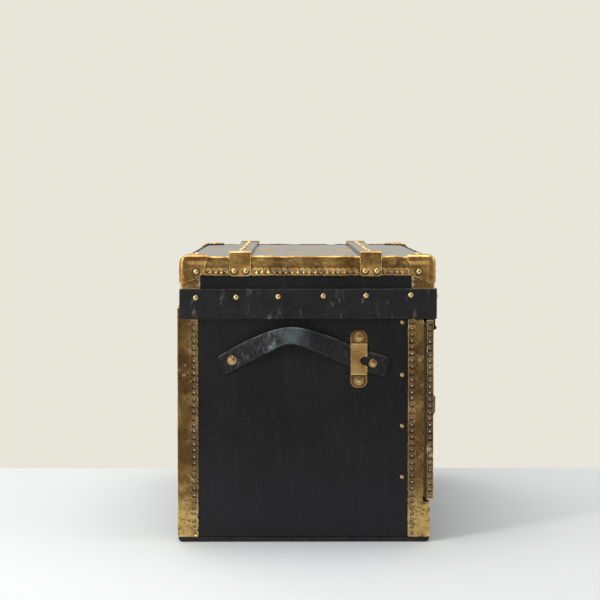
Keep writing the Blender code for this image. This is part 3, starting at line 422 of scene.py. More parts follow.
STRAP = strap_finish("strap_leather")
WOOD = wood_finish("stained_wood")
SLAT_WOOD = wood_finish("polished_wood", polished=True)
LINING = lining_finish("lining_cloth")
GRIME_AND_SHADE = grime_and_shade_finish("grime_and_shade")
THREAD = thread_finish("waxed_thread")


# ---- building blocks ----------------------------------------------------------------------
def stand(name, data):
    """New object in the scene."""
    item = bpy.data.objects.new(name, data)
    bpy.context.scene.collection.objects.link(item)
    return item


def aim(item, location, way):
    """Place a lamp or the camera and point it along a direction."""
    item.location = location
    item.rotation_mode = "QUATERNION"
    item.rotation_quaternion = way.to_track_quat("-Z", "Y")


def piece(name, bm, materials, body, smooth=40):
    """Turn a bmesh in the trunk's frame into a piece that rides on a body."""
    mesh = bpy.data.meshes.new(name)
    bm.to_mesh(mesh)
    bm.free()
    for one in materials:
        mesh.materials.append(one)
    mesh.shade_smooth()
    mesh.set_sharp_from_angle(angle=math.radians(smooth))
    item = stand(name, mesh)
    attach(item, body)
    return item


def circle(bm, centre, side, other, radius, sides, turn=0.0):
    """Ring of vertices round a centre."""
    angles = [turn + math.tau * k / sides for k in range(sides)]
    return [bm.verts.new(centre + side * (radius * math.cos(angle))
                         + other * (radius * math.sin(angle))) for angle in angles]


def skin(bm, rings):
    """Closed tube of faces over rings of equally many vertices."""
    count = len(rings[0])
    for lower, upper in zip(rings, rings[1:]):
        for k in range(count):
            n = (k + 1) % count
            bm.faces.new((lower[k], lower[n], upper[n], upper[k]))
    bm.faces.new(list(reversed(rings[0])))
    bm.faces.new(rings[-1])


def arc(centre_y, centre_z, radius, start, end, steps=6):
    """(y, z) of points round an arc between two angles in degrees."""
    angles = [math.radians(start + (end - start) * k / steps) for k in range(steps + 1)]
    return [(centre_y + radius * math.cos(angle), centre_z + radius * math.sin(angle))
            for angle in angles]


def lathe(bm, base, normal, profile, sides, material=0, turn=0.0):
    """Closed turned form. The profile is (radius, height) from the rim to the middle."""
    normal = Vector(normal).normalized()
    side = normal.orthogonal().normalized()
    other = normal.cross(side)
    base = Vector(base)
    rings = []
    for radius, height in profile:
        centre = base + normal * height
        if radius < 1e-6:
            rings.append([bm.verts.new(centre)])
        else:
            rings.append(circle(bm, centre, side, other, radius, sides, turn))
    for lower, upper in zip(rings, rings[1:]):
        for k in range(sides):
            n = (k + 1) % sides
            if len(upper) == 1:
                face = bm.faces.new((lower[k], lower[n], upper[0]))
            else:
                face = bm.faces.new((lower[k], lower[n], upper[n], upper[k]))
            face.material_index = material
    back = bm.faces.new(list(reversed(rings[0])))
    back.material_index = material


def dome(radius, height, steps, lip):
    """Profile of a domed head from its rim inwards."""
    profile = [(radius, -0.0006), (radius, lip)]
    for k in range(1, steps + 1):
        angle = math.pi / 2 * k / steps
        profile.append((radius * math.cos(angle) if k < steps else 0.0,
                        lip + (height - lip) * math.sin(angle)))
    return profile


def spaced(start, end, pitch, seed, skip=lambda p: False):
    """Points along a line at about a pitch, a little unevenly, as if set by hand."""
    loose = 0.0006
    chance = random.Random(seed)
    start, end = Vector(start), Vector(end)
    count = max(1, round((end - start).length / pitch))
    found = []
    for k in range(count + 1):
        point = start.lerp(end, k / count)
        point += (end - start).normalized() * chance.uniform(-1, 1) * loose * 1.6
        drift = noise.noise_vector(point * 9.0) * loose
        point += drift - drift.project(end - start)
        if not skip(point):
            found.append(point)
    return found


def tacks(name, rows, body, seed, radius=TACK_RADIUS):
    """Steel tacks in rows, each with a dark ring round it: grime, and painted shade where the head
    meets the sheet. A row is points and a normal.
    """
    chance = random.Random(seed)
    bm = bmesh.new()
    for points, normal in rows:
        normal = Vector(normal)
        for point in points:
            flat = point - normal * (point - points[0]).dot(normal)
            lean = normal + Vector([chance.uniform(-0.10, 0.10) for _ in range(3)])
            size = chance.uniform(0.90, 1.12)
            # The flat dark ring round each head is grime and painted shade.
            ring = [(radius * 1.42 * size, -0.0009), (radius * 1.42 * size, 0.00002),
                    (radius * 0.8, 0.00014), (0.0, 0.00014)]
            lathe(bm, flat, normal, ring, 12, 1)
            lathe(bm, flat, lean, dome(radius * size, TACK_HEIGHT * size, 3, 0.0001), 10, 0,
                  chance.uniform(0, 1))
    return piece(name, bm, (TACK, GRIME_AND_SHADE), body)


def studs(name, places, body, radius=STUD_RADIUS, height=STUD_HEIGHT, material=None,
          grime_and_shade=1.22, sides=20):
    """Domed brass studs, each with a dark ring under the rim: grime, and painted shade where the
    head meets the surface. A place is a point and a normal."""
    chance = random.Random(name)
    bm = bmesh.new()
    for point, normal in places:
        lean = Vector(normal) + Vector([chance.uniform(-0.05, 0.05) for _ in range(3)])
        # The flat dark ring round each head is grime and painted shade.
        ring = [(radius * grime_and_shade, -0.0004), (radius * grime_and_shade, 0.00015), (radius * 0.8, 0.00025),
                (0.0, 0.00025)]
        lathe(bm, point, normal, ring, sides, 1)
        lathe(bm, point, lean, dome(radius, height, 6, 0.0006), sides, 0)
    return piece(name, bm, (material or STUD_BRASS, GRIME_AND_SHADE), body)


def near(rows):
    """Search tree over the points of some rows."""
    points = [p for row, _ in rows for p in row]
    tree = KDTree(len(points))
    for i, point in enumerate(points):
        tree.insert(point, i)
    tree.balance()
    return tree


def dense_copy(node, cell, fine=None, tree=None, reach=0.010, ease=0.0):
    """bmesh copy of a CAD node with short edges, shorter still within reach of the tree."""
    bm = bmesh.new()
    bm.from_mesh(NODES[node].data)
    bmesh.ops.remove_doubles(bm, verts=bm.verts, dist=2e-5)
    if ease:
        sharp = [e for e in bm.edges if len(e.link_faces) == 2
                 and e.calc_face_angle(0) > math.radians(40)]
        bmesh.ops.bevel(bm, geom=sharp, offset=ease, segments=2, profile=0.5, affect="EDGES",
                        clamp_overlap=True)
    bmesh.ops.triangulate(bm, faces=bm.faces)
    for _ in range(12):
        long = []
        for e in bm.edges:
            limit = cell
            if tree is not None:
                middle = (e.verts[0].co + e.verts[1].co) / 2
                if tree.find(middle)[2] < reach + e.calc_length() / 2:
                    limit = fine
            if e.calc_length() > limit * 1.4:
                long.append(e)
        if not long:
            break
        bmesh.ops.subdivide_edges(bm, edges=long, cuts=1)
        bmesh.ops.triangulate(bm, faces=[f for f in bm.faces if len(f.verts) > 3])
    bm.normal_update()
    return bm


def hammer(bm, tree, wave, pucker=0.00045, foot=0.0, seed=0.0, fan=None):
    """Shape sheet brass: gentle waves, a pucker round every tack, dents near the foot, and
    folds that fan out above a row of tacks at a height."""
    away = Vector((seed, seed * 1.7, 0.0))
    for vert in bm.verts:
        p = vert.co + away
        shift = noise.noise_vector(p * 38.0) * wave
        depth = noise.noise(p * 120.0) * wave * 0.5
        if tree is not None:
            distance = tree.find(vert.co)[2]
            depth -= pucker * math.exp(-(distance / 0.0036) ** 2)
            depth += pucker * 0.8 * math.exp(-((distance - 0.0082) / 0.0032) ** 2)
        if fan and vert.co.z > fan - 0.004:
            off = tree.find(Vector((vert.co.x, vert.co.y, fan)))[2]
            fade = math.exp(-max(0.0, vert.co.z - fan) / 0.014)
            depth += 0.0010 * (min(1.0, off / 0.0062) - 0.5) * fade
        if foot:
            low = max(0.0, min(1.0, (0.155 - vert.co.z) / 0.09))
            dent = noise.noise(p * 75.0) + 0.6 * noise.noise(p * 160.0)
            depth -= foot * low * max(0.0, dent)
        vert.co += shift * 0.8 + vert.normal * depth


def sag_rim(bm):
    """Knocks in the fold along the top of both ends, so that its edge isn't straight."""
    deep, inner = 0.010, 0.4370
    for vert in bm.verts:
        if abs(vert.co.x) < inner or vert.co.z < LID_TOP - deep:
            continue
        share = (vert.co.z - (LID_TOP - deep)) / deep
        knock = max(0.0, noise.noise(Vector((vert.co.y * 26.0, vert.co.x * 3.0, 4.2))) - 0.05)
        knock += 0.5 * max(0.0, noise.noise(Vector((vert.co.y * 75.0, vert.co.x, 8.2))))
        vert.co.z -= 0.0022 * knock * share
        vert.co.x -= math.copysign(0.0012 * knock * share, vert.co.x)


# ---- brass edging -------------------------------------------------------------------------
def under_clamp(p):
    return abs(abs(p.y) - SLAT_Y) < 0.0275


def case_rows(sx):
    """Rows of tacks on one end's brass: start of a node's name to its rows, each with a
    normal."""
    foot, head = 0.0200, 0.5140
    out, front, back = (sx, 0, 0), (0, -1, 0), (0, 1, 0)
    x, leg, narrow = sx * END, sx * 0.4125, sx * 0.4272
    key = f"{sx}"
    return {
        "case_brass_back": [
            (spaced((x, 0.2444, foot), (x, 0.2444, head), TACK_PITCH, "a" + key), out),
            (spaced((leg, CASE_BACK, foot), (leg, CASE_BACK, head), TACK_PITCH, "b" + key),
             back)],
        "case_brass_front": [
            (spaced((x, -0.2347, foot), (x, -0.2347, 0.4870), TACK_PITCH, "c" + key), out),
            (spaced((narrow, SILL_FRONT, foot), (narrow, SILL_FRONT, 0.0805), TACK_PITCH,
                    "d" + key), front)],
        "door_brass": [
            (spaced((x, -0.2743, 0.1025), (x, -0.2743, 0.4850), TACK_PITCH, "e" + key), out),
            (spaced((narrow, DOOR_FRONT, 0.1025), (narrow, DOOR_FRONT, 0.4850), TACK_PITCH,
                    "f" + key), front)],
    }


def lid_rows():
    """Rows of tacks along the foot of the lid's edging, with their normals."""
    rows = []
    for _, sx in SIDES:
        rows.append((spaced((sx * END, -0.2230, EDGING_ROW), (sx * END, 0.2140, EDGING_ROW),
                            EDGING_PITCH, f"g{sx}", under_clamp), (sx, 0, 0)))
    for y, normal in ((LID_FRONT, (0, -1, 0)), (LID_BACK, (0, 1, 0))):
        rows.append((spaced((-0.386, y, EDGING_ROW), (0.386, y, EDGING_ROW), EDGING_PITCH,
                            f"i{y}"), normal))
    return rows


def build_edging():
    """Hammered sheet-brass edging in place of the plain nodes, with its tacks."""
    for side, sx in SIDES:
        for kind, rows in case_rows(sx).items():
            node = f"{kind}_{side}"
            tree = near(rows)
            bm = dense_copy(node, 0.0055, 0.0021, tree, 0.008)
            hammer(bm, tree, wave=0.0006, pucker=0.0009, foot=0.0024,
                   seed=sx * 0.3 + len(kind))
            material = BRASS if kind == "case_brass_back" else FRONT_BRASS
            body = "front_panel" if kind == "door_brass" else "case"
            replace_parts(piece(f"{node}_sheet", bm, (material,), body), node)
            tacks(f"{node}_tacks", rows, body, node)
    rows = lid_rows()
    tree = near(rows)
    bm = dense_copy("lid_edge_brass", 0.0055, 0.0021, tree, 0.008)
    hammer(bm, tree, wave=0.0008, pucker=0.0011, seed=3.1, fan=EDGING_ROW)
    sag_rim(bm)
    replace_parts(piece("lid_edge_sheet", bm, (LID_BRASS,), "lid"), "lid_edge_brass")
    tacks("lid_edge_tacks", rows, "lid", "lid", EDGING_TACK)


def angle_profile(sx, face, inner, away, radius):
    """(x, y, normal x, normal y) round a lid corner, from the end face to the long face."""
    profile = [(sx * END, inner + (face - away * radius - inner) * k / 12, sx, 0)
               for k in range(13)]
    for k in range(1, 6):
        angle = math.pi / 2 * k / 6
        profile.append((sx * (END - radius + radius * math.cos(angle)),
                        face - away * radius * (1 - math.sin(angle)),
                        sx * math.cos(angle), away * math.sin(angle)))
    return profile + [(sx * (END - radius - 0.038 * k / 10), face, 0, away) for k in range(11)]


def bent_sheet(profile, low, high, thick, steps=14):
    """Sheet standing between two heights along a profile, closed all round."""
    bm = bmesh.new()
    outer, inside = [[[bm.verts.new((x + nx * depth, y + ny * depth,
                                     low + (high - low) * k / steps))
                       for x, y, nx, ny in profile] for k in range(steps + 1)]
                     for depth in (0.0, -thick)]
    last = len(profile) - 1
    for k in range(steps):
        for i in range(last):
            for grid in (outer, inside):
                bm.faces.new((grid[k][i], grid[k][i + 1], grid[k + 1][i + 1],
                              grid[k + 1][i]))
        for i in (0, last):
            bm.faces.new((outer[k][i], outer[k + 1][i], inside[k + 1][i], inside[k][i]))
    for k in (0, steps):
        for i in range(last):
            bm.faces.new((outer[k][i], outer[k][i + 1], inside[k][i + 1], inside[k][i]))
    bmesh.ops.recalc_face_normals(bm, faces=bm.faces)
    bm.normal_update()
    return bm


def build_lid_corners():
    """Upright brass angles between the caps and the valance, each with its tacks."""
    radius, heights = 0.0050, (0.5655, 0.5795)
    for side, sx in SIDES:
        for place, face, inner in (("front", LID_FRONT, -0.2334), ("back", LID_BACK, 0.2318)):
            away = 1 if face > 0 else -1
            row_y = inner + away * 0.0048
            row_x = sx * (END - radius - 0.031)
            rows = [([Vector((sx * END, row_y, z)) for z in heights], (sx, 0, 0)),
                    ([Vector((row_x, face, z)) for z in heights], (0, away, 0))]
            bm = bent_sheet(angle_profile(sx, face, inner, away, radius), BAND_TOP + 0.0003,
                            EDGING_LOW - 0.0003, 0.0009)
            hammer(bm, near(rows), wave=0.0003, seed=sx + face)
            piece(f"lid_corner_angle_{place}_{side}", bm, (LID_BRASS,), "lid")
            tacks(f"lid_corner_tacks_{place}_{side}", rows, "lid", f"{place}{side}")


# ---- caps, clamps and slats ---------------------------------------------------------------
def build_caps_and_clamps():
    for side, sx in SIDES:
        for place, inward in (("front", 1), ("back", -1)):
            build_cap(f"lid_cap_{place}_{side}", sx, inward)
            build_clamp(f"slat_clamp_{place}_{side}", sx, -inward * SLAT_Y)


def build_cap(node, sx, inward):
    """Stamped corner cap: swollen shoulders, three rivets and raised rims."""
    face = LID_FRONT - CAP_LEAF if inward > 0 else LID_BACK + CAP_LEAF
    bm = dense_copy(node, 0.0022, ease=0.0003)
    swell_cap(bm, sx, face, inward)
    hammer(bm, None, wave=0.0004, seed=sx * 0.7 + len(node))
    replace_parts(piece(f"{node}_stamping", bm, (CAP_BRASS,), "lid"), node)
    x, y = sx * (CAP_END - CAP_RIVET_INSET), face + inward * CAP_RIVET_INSET
    z = CAP_TOP - CAP_RIVET_INSET
    spots = [(Vector((sx * CAP_END, y, z)), (sx, 0, 0)),
             (Vector((x, face, z)), (0, -inward, 0)),
             (Vector((x, y, CAP_TOP)), (0, 0, 1))]
    studs(f"{node}_rivets", spots, "lid", *CAP_RIVET, grime_and_shade=1.36, sides=24)
    # The rims are raised brass beads. The outline is a dark bead just outside them: a painted
    # shadow of the step at the cap's edge.
    for part, radius, shift, lift, start, steps, material in (
            ("rims", 0.00060, -0.0008, 0.0, 0.17, 24, STUD_BRASS),
            ("outline", 0.0008, 0.0010, 0.0015, 0.27, 20, GRIME_AND_SHADE)):
        bm = bmesh.new()
        for flat in range(3):
            for swap in (False, True):
                tube(bm, cap_line(sx, face, inward, flat, swap, shift, lift, start, steps),
                     radius)
        piece(f"{node}_{part}", bm, (material,), "lid", smooth=60)


def cap_line(sx, face, inward, flat, swap, shift, lift, start, steps):
    """Line along one free edge of a cap's leaf, shifted off the edge and lifted towards the
    board. flat is the axis that the leaf faces."""
    reach, pull = 0.061, 0.015
    points = []
    for k in range(steps + 1):
        t = start + (1 - start) * k / steps
        first, second = reach - pull * t * t + shift, t * reach - pull * t
        inset = [second, first] if swap else [first, second]
        inset.insert(flat, lift)
        points.append(Vector((sx * (CAP_END - inset[0]), face + inward * inset[1],
                              CAP_TOP - inset[2])))
    return points


def swell_cap(bm, sx, face, inward):
    """Raise a rounded shoulder round the cap's corner, with a crease inside it."""
    for vert in bm.verts:
        depths = sorted((CAP_END - sx * vert.co.x, (vert.co.y - face) * inward,
                         CAP_TOP - vert.co.z))
        if depths[0] > 0.004:
            continue
        crease = math.exp(-((depths[1] - 0.0205) / 0.0040) ** 2)
        shoulder = math.exp(-((depths[1] - 0.0125) / 0.0070) ** 2)
        vert.co += vert.normal * (0.0015 * shoulder - 0.0007 * crease)


def build_clamp(node, sx, y):
    """Brass clamp over a slat's end, with two rivets and beads along its edges."""
    bm = dense_copy(node, 0.0024, ease=0.0003)
    for vert in bm.verts:
        if abs(vert.co.x) > END:
            vert.co.x += sx * clamp_swell(vert.co.z)
    hammer(bm, None, wave=0.0003, seed=sx * 0.7 + len(node))
    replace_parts(piece(f"{node}_stamping", bm, (CLAMP_BRASS,), "lid"), node)
    x = sx * (CLAMP_END + clamp_swell(CLAMP_RIVET_Z))
    spots = [(Vector((x, y + dy, CLAMP_RIVET_Z)), (sx, 0, 0.05)) for dy in (-0.013, 0.013)]
    studs(f"{node}_rivets", spots, "lid", *CAP_RIVET, grime_and_shade=1.36, sides=24)
    build_clamp_rims(node, sx, y)


def clamp_swell(z):
    """How far a slat clamp stands out from flat at a height."""
    return 0.0018 * math.exp(-((z - 0.6100) / 0.0150) ** 2)


def build_clamp_rims(node, sx, y):
    """Raised beads down both sides of a clamp, round its foot and along its top fold, and dark
    beads beside them: a painted shadow along the clamp's sides."""
    half, radius, low, high, pitch = 0.0236, 0.0070, 0.5879, 0.6385, 0.004
    heights = [high - k * pitch for k in range(11)]
    line = [(y - half, z) for z in heights]
    line += arc(y - half + radius, low + radius, radius, 180, 270)
    line += arc(y + half - radius, low + radius, radius, 270, 360)
    line += [(y + half, z) for z in reversed(heights)]
    bm = bmesh.new()
    tube(bm, [Vector((sx * (CLAMP_END + clamp_swell(z)), at, z)) for at, z in line], 0.00060)
    fold = (sx * (END - 0.0008), SLAT_TOP + 0.0007)
    tube(bm, [Vector((fold[0], y - half + k * half / 6, fold[1])) for k in range(13)], 0.00085)
    piece(f"{node}_rims", bm, (STUD_BRASS,), "lid", smooth=60)
    # Dark beads beside the clamp's sides: a painted shadow.
    bm = bmesh.new()
    for away in (-1, 1):
        tube(bm, [Vector((sx * (END + 0.0003), y + away * (half + 0.0016), 0.5925 + k * pitch))
                  for k in range(9)], 0.0009)
    piece(f"{node}_outline", bm, (GRIME_AND_SHADE,), "lid", smooth=60)


def tube(bm, points, radius, sides=6):
    """Thin round bead along a line, closed at both ends, a little uneven."""
    rings = []
    side = None
    for i, point in enumerate(points):
        along = (points[min(i + 1, len(points) - 1)] - points[max(i - 1, 0)]).normalized()
        side = along.orthogonal() if side is None else side - side.project(along)
        side.normalize()
        size = radius * (1.0 + 0.25 * noise.noise(point * 120.0))
        if i in (0, len(points) - 1):
            size *= 0.4
        rings.append(circle(bm, point, side, along.cross(side), size, sides))
    skin(bm, rings)


def build_slat_nails():
    """Domed nails along the tops of the slats, about evenly set."""
    chance = random.Random("nails")
    for place, y in (("front", -SLAT_Y), ("back", SLAT_Y)):
        spots = [(Vector((-0.360 + 0.090 * k + chance.uniform(-0.003, 0.003),
                          y + chance.uniform(-0.002, 0.002), SLAT_TOP)), (0, 0, 1))
                 for k in range(9)]
        studs(f"slat_nails_{place}", spots, "lid", radius=0.0052, height=0.0036)


def build_valance_studs():
    """Studs through the valance, falling a little towards the back of each end."""
    height = 0.543
    for side, sx in SIDES:
        spots = [(Vector((sx * BAND_END, y, height - 0.0125 * y)), (sx, 0, 0))
                 for y in (0.2411, 0.1525, 0.0602, -0.0387, -0.1327, -0.2309)]
        studs(f"valance_studs_{side}", spots, "lid")
    spots = [(Vector((sx * 0.0855 * k, BAND_FRONT, height)), (0, -1, 0))
             for k in (1, 2, 3, 5) for sx in (-1, 1)]
    studs("valance_studs_front", spots, "lid")


def build_panel_pins():
    """Small pins down the front edge of each end's cloth."""
    for side, sx in SIDES:
        spots = [(Vector((sx * PANEL, -0.2129, z)), (sx, 0, 0))
                 for z in (0.4857, 0.3694, 0.2566, 0.1438)]
        studs(f"panel_pins_{side}", spots, "case", radius=0.0044, height=0.0026,
              material=PIN_BRASS)


# ---- leather ------------------------------------------------------------------------------
def build_valance():
    """Leather valance: the CAD form with soft ripples, deeper towards its lower edge, and a rolled
    rim.
    """
    bm = dense_copy("lid_band", 0.0050, ease=0.0004)
    for vert in bm.verts:
        p = vert.co
        hang = max(0.0, min(1.0, (0.530 - p.z) / 0.036))
        ripple = noise.noise(Vector((p.x * 14.0, p.y * 14.0, 0.3)))
        fine = noise.noise(Vector((p.x * 60.0, p.y * 60.0, p.z * 25.0)))
        move = ripple * 0.0010 * hang + fine * 0.00030
        if p.y < BAND_FRONT + 0.006:
            vert.co.y -= move
        elif abs(p.x) > 0.4490:
            vert.co.x += math.copysign(1, p.x) * move
        vert.co.z += noise.noise(Vector((p.x * 7.0, p.y * 7.0, 1.7))) * 0.0007
    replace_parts(piece("valance", bm, (LEATHER,), "lid", smooth=35), "lid_band")


def smooth_line(knots, floor, steps=22):
    """Catmull-Rom line through a few points, kept on one side of a floor: an axis, a value
    and a sign."""
    knots = [Vector(k) for k in knots]
    padded = [2 * knots[0] - knots[1]] + knots + [2 * knots[-1] - knots[-2]]
    points = []
    for i in range(1, len(padded) - 2):
        a, b, c, d = padded[i - 1:i + 3]
        for k in range(steps):
            t = k / steps
            points.append(0.5 * ((2 * b) + (c - a) * t + (2 * a - 5 * b + 4 * c - d) * t * t
                                 + (3 * b - a - 3 * c + d) * t ** 3))
    points.append(knots[-1])
    axis, value, sign = floor
    for point in points:
        point[axis] = sign * max(sign * point[axis], sign * value)
    return points


def strap_spots(line, outward):
    """(point, along, across, face, distance) for each point of a strap's line."""
    outward = Vector(outward)
    found = []
    distance = 0.0
    for i, point in enumerate(line):
        if i:
            distance += (point - line[i - 1]).length
        along = (line[min(i + 1, len(line) - 1)] - line[max(i - 1, 0)]).normalized()
        across = outward.cross(along).normalized()
        face = along.cross(across).normalized()
        found.append((point, along, across, face, distance))
    return found


def build_strap(name, node, line, outward, body, tips, width=0.046, creased=0.5, seed=0.0,
                waist=None):
    """Harness leather strap with a pressed rim and a stitched groove along both edges. tips
    says which ends are rounded, and waist where and how much it narrows."""
    spots = strap_spots(line, outward)
    total = spots[-1][4]
    across_steps = 26
    bm = bmesh.new()
    rings = []
    for point, along, across, face, distance in spots:
        half = width / 2 - waisted(waist, distance)
        for tip, away in (("start", distance), ("end", total - distance)):
            if tip in tips and away < STRAP_TIP:
                half -= STRAP_TIP - math.sqrt(max(STRAP_TIP ** 2 - (STRAP_TIP - away) ** 2,
                                                  0.0))
        half *= 1.0 + 0.012 * noise.noise(Vector((distance * 30.0, seed, 0.0)))
        ring = []
        for k in range(across_steps + 1):
            u = -math.cos(math.pi * k / across_steps)
            edge = half - abs(u) * half
            height = STRAP_THICK * (0.34 + 0.66 * min(1.0, edge / 0.0022) ** 0.5)
            height += 0.00045 * math.exp(-((edge - 0.0021) / 0.0010) ** 2)
            height -= 0.00060 * math.exp(-((edge - GROOVE) / 0.0009) ** 2)
            height += 0.0005 * (1 - u * u)
            p = point + across * (u * half)
            wrinkle = noise.noise(Vector((distance * 330.0, u * 1.6 + seed, distance * 40.0)))
            where = 0.35 + creased * math.exp(-((distance - 0.075) / 0.055) ** 2)
            height -= 0.00050 * where * max(0.0, wrinkle) * min(1.0, edge / 0.004)
            height += 0.00025 * noise.noise(p * 90.0)
            ring.append(bm.verts.new(p + face * height))
        for u in (1.0, 0.5, 0.0, -0.5, -1.0):
            ring.append(bm.verts.new(point + across * (u * (half - 0.0006)) + face * 0.0001))
        rings.append(ring)
    skin(bm, rings)
    bmesh.ops.recalc_face_normals(bm, faces=bm.faces)
    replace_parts(piece(name, bm, (STRAP,), body, smooth=60), node)
    stitches(f"{name}_stitching", spots, total, width / 2 - GROOVE, body, waist)


def waisted(waist, distance):
    """How much narrower each half of a strap is at a distance from its start."""
    if not waist:
        return 0.0
    middle, narrower, spread = waist
    return narrower * math.exp(-((distance - middle) / spread) ** 2)


def stitches(name, spots, total, offset, body, waist):
    """Two rows of stitches, each a short raised bar that dips at both ends."""
    bm = bmesh.new()
    pitch, length = 0.0060, 0.0042
    for sign in (-1, 1):
        at = 0.012
        while at < total - 0.008:
            point, along, across, face = spot_at(spots, at)
            out = sign * (offset - waisted(waist, at))
            base = point + across * out + face * (STRAP_THICK - 0.0004)
            bar(bm, base, along, across, face, length, 0.00055)
            at += pitch
    piece(name, bm, (THREAD,), body, smooth=60)


def spot_at(spots, distance):
    """(point, along, across, face) at a distance along a strap."""
    for a, b in zip(spots, spots[1:]):
        if b[4] >= distance:
            t = (distance - a[4]) / max(b[4] - a[4], 1e-9)
            return tuple(a[i].lerp(b[i], t) for i in range(4))
    return spots[-1][:4]


def bar(bm, base, along, across, face, length, radius):
    """Short rounded bar lying along a surface."""
    rings = []
    steps, sides = 6, 6
    for k in range(steps + 1):
        u = -1 + 2 * k / steps
        swell = math.sqrt(max(1 - u * u, 0.04))
        centre = base + along * (u * length / 2) + face * (radius * 0.9 * swell)
        rings.append(circle(bm, centre, across, face, radius * swell, sides))
    skin(bm, rings)


def handle_stud(name, centre, normal, body, size=1.0):
    """Washer with a stepped head and a small boss in the middle."""
    bm = bmesh.new()
    washer = [(0.0104, -0.0006), (0.0104, 0.0009), (0.0098, 0.0015), (0.0076, 0.0017),
              (0.0070, 0.0009), (0.0, 0.0009)]
    head = [(0.0064, 0.0003), (0.0064, 0.0028), (0.0056, 0.0040), (0.0040, 0.0045),
            (0.0034, 0.0040), (0.0020, 0.0042), (0.0, 0.0046)]
    for profile in (washer, head):
        lathe(bm, centre, normal, [(radius * size, height) for radius, height in profile], 28)
    piece(name, bm, (PIN_BRASS,), body, smooth=30)


def build_end_handles():
    """Both end handles: an arched strap with a stud at its back, and a tail which slides
    under the keeper in front."""
    flat = PANEL + 0.0003
    swell = 0.030
    slope = math.radians(16.6)
    stud_y, stud_z = 0.1616, 0.4024
    tail_y, tail_z = -0.1481, 0.3958

    def tail(distance):
        return (flat, tail_y + distance * math.cos(slope), tail_z + distance * math.sin(slope))

    knots = ((flat, 0.1850, 0.3890), (flat, stud_y, stud_z), (flat + swell * 0.45, 0.110, 0.4310),
             (flat + swell * 0.95, 0.055, 0.4555), (flat + swell, 0.018, 0.4580),
             (flat + swell * 0.72, -0.025, 0.4440), (flat + swell * 0.14, -0.072, 0.4235),
             tail(0.0565), tail(0.0415))
    for side, sx in SIDES:
        def mirrored(points):
            return [Vector((sx * p[0], p[1], p[2])) for p in points]

        line = mirrored(smooth_line(knots, (0, flat, 1)))
        build_strap(f"{side}_handle_leather", f"{side}_handle_strap", line, (sx, 0, 0), "case",
                    ("start",), creased=1.1, seed=sx, waist=(0.172, 0.0045, 0.055))
        line = mirrored([tail(TAIL_FROM + (TAIL_TO - TAIL_FROM) * k / 40) for k in range(41)])
        build_strap(f"{side}_handle_tail_leather", f"{side}_handle_tail", line, (sx, 0, 0),
                    f"{side}_tail", ("start",), creased=0.2, seed=sx + 5)
        handle_stud(f"{side}_handle_stud", (sx * (flat + 0.0062), stud_y, stud_z),
                    (sx, 0.14, -0.05), "case")
        build_keeper_details(side, sx, flat)
        handle_stud(f"{side}_tail_head", (sx * (flat + 0.0057), tail_y, tail_z), (sx, 0, 0),
                    f"{side}_tail", size=0.86)


def build_keeper_details(side, sx, flat):
    """Rivets on the keeper's tabs, the worn folds of its bridge and the rims of its tabs."""
    half, radius = 0.01825 - 0.0006, 0.0140
    bm = bmesh.new()
    for place, up in (("upper", 1), ("lower", -1)):
        handle_stud(f"{side}_keeper_rivet_{place}",
                    (sx * (flat + 0.0034), KEEPER_Y, KEEPER_Z + up * 0.0475), (sx, 0, 0),
                    "case")
    for up in (-1, 1):
        tube(bm, [Vector((sx * (flat + 0.0068), KEEPER_Y - half + k * half / 5,
                          KEEPER_Z + up * 0.0331)) for k in range(11)], 0.0009)
        rim = [(-half, 0.0350 + k * 0.0040) for k in range(4)]
        rim += arc(radius - half, 0.0484, radius, 180, 90)
        rim += arc(half - radius, 0.0484, radius, 90, 0)
        rim += [(half, 0.0470 - k * 0.0040) for k in range(4)]
        tube(bm, [Vector((sx * (flat + 0.0015), KEEPER_Y + y, KEEPER_Z + up * z))
                  for y, z in rim], 0.0006)
    piece(f"{side}_keeper_rims", bm, (STUD_BRASS,), "case", smooth=60)


def build_front_handle():
    """Arched strap on the front panel, with a stud at each end."""
    flat = DOOR_FRONT + 0.0012
    swell, foot, rise = 0.038, 0.2110, 0.0370
    knots = [(-0.125, flat, foot - 0.003), (-0.105, flat, foot + 0.003),
             (-0.070, flat - swell * 0.60, foot + rise * 0.55),
             (-0.025, flat - swell, foot + rise), (0.025, flat - swell, foot + rise),
             (0.070, flat - swell * 0.60, foot + rise * 0.55),
             (0.105, flat, foot + 0.003), (0.125, flat, foot - 0.003)]
    line = smooth_line(knots, (1, flat, -1))
    build_strap("front_handle_leather", "front_handle_strap", line, (0, -1, 0), "front_panel",
                ("start", "end"), width=0.038, seed=9.0)
    for side, sx in SIDES:
        handle_stud(f"front_handle_stud_{side}", (sx * 0.112, flat - 0.0050, foot + 0.001),
                    (0, -1, 0), "front_panel")


# ---- finishes of the CAD pieces that stay ---------------------------------------------------
def finish_cad_pieces():
    looks = {"black_cloth": CLOTH, "brass": CAST_BRASS, "leather": LEATHER, "steel": STEEL,
             "wood": WOOD, "lining": LINING}
    slots = {row["node"]: row["material_slot"] for row in frame["record"]["subparts"]}
    for name, item in NODES.items():
        if item.hide_render:
            continue
        material = LID_CLOTH if name == "lid_top_board" else looks[slots[name]]
        if name.endswith("handle_keeper"):
            material = KEEPER_BRASS
        if name.startswith("lid_slat"):
            material = SLAT_WOOD
        item.data.materials.clear()
        item.data.materials.append(material)
        weld = item.modifiers.new("weld", "WELD")
        weld.merge_threshold = 2e-5
        ease = item.modifiers.new("ease", "BEVEL")
        ease.width = 0.0006 if slots[name] in ("black_cloth", "wood", "lining") else 0.00025
        ease.segments = 2
        ease.limit_method = "ANGLE"
        ease.angle_limit = math.radians(35)


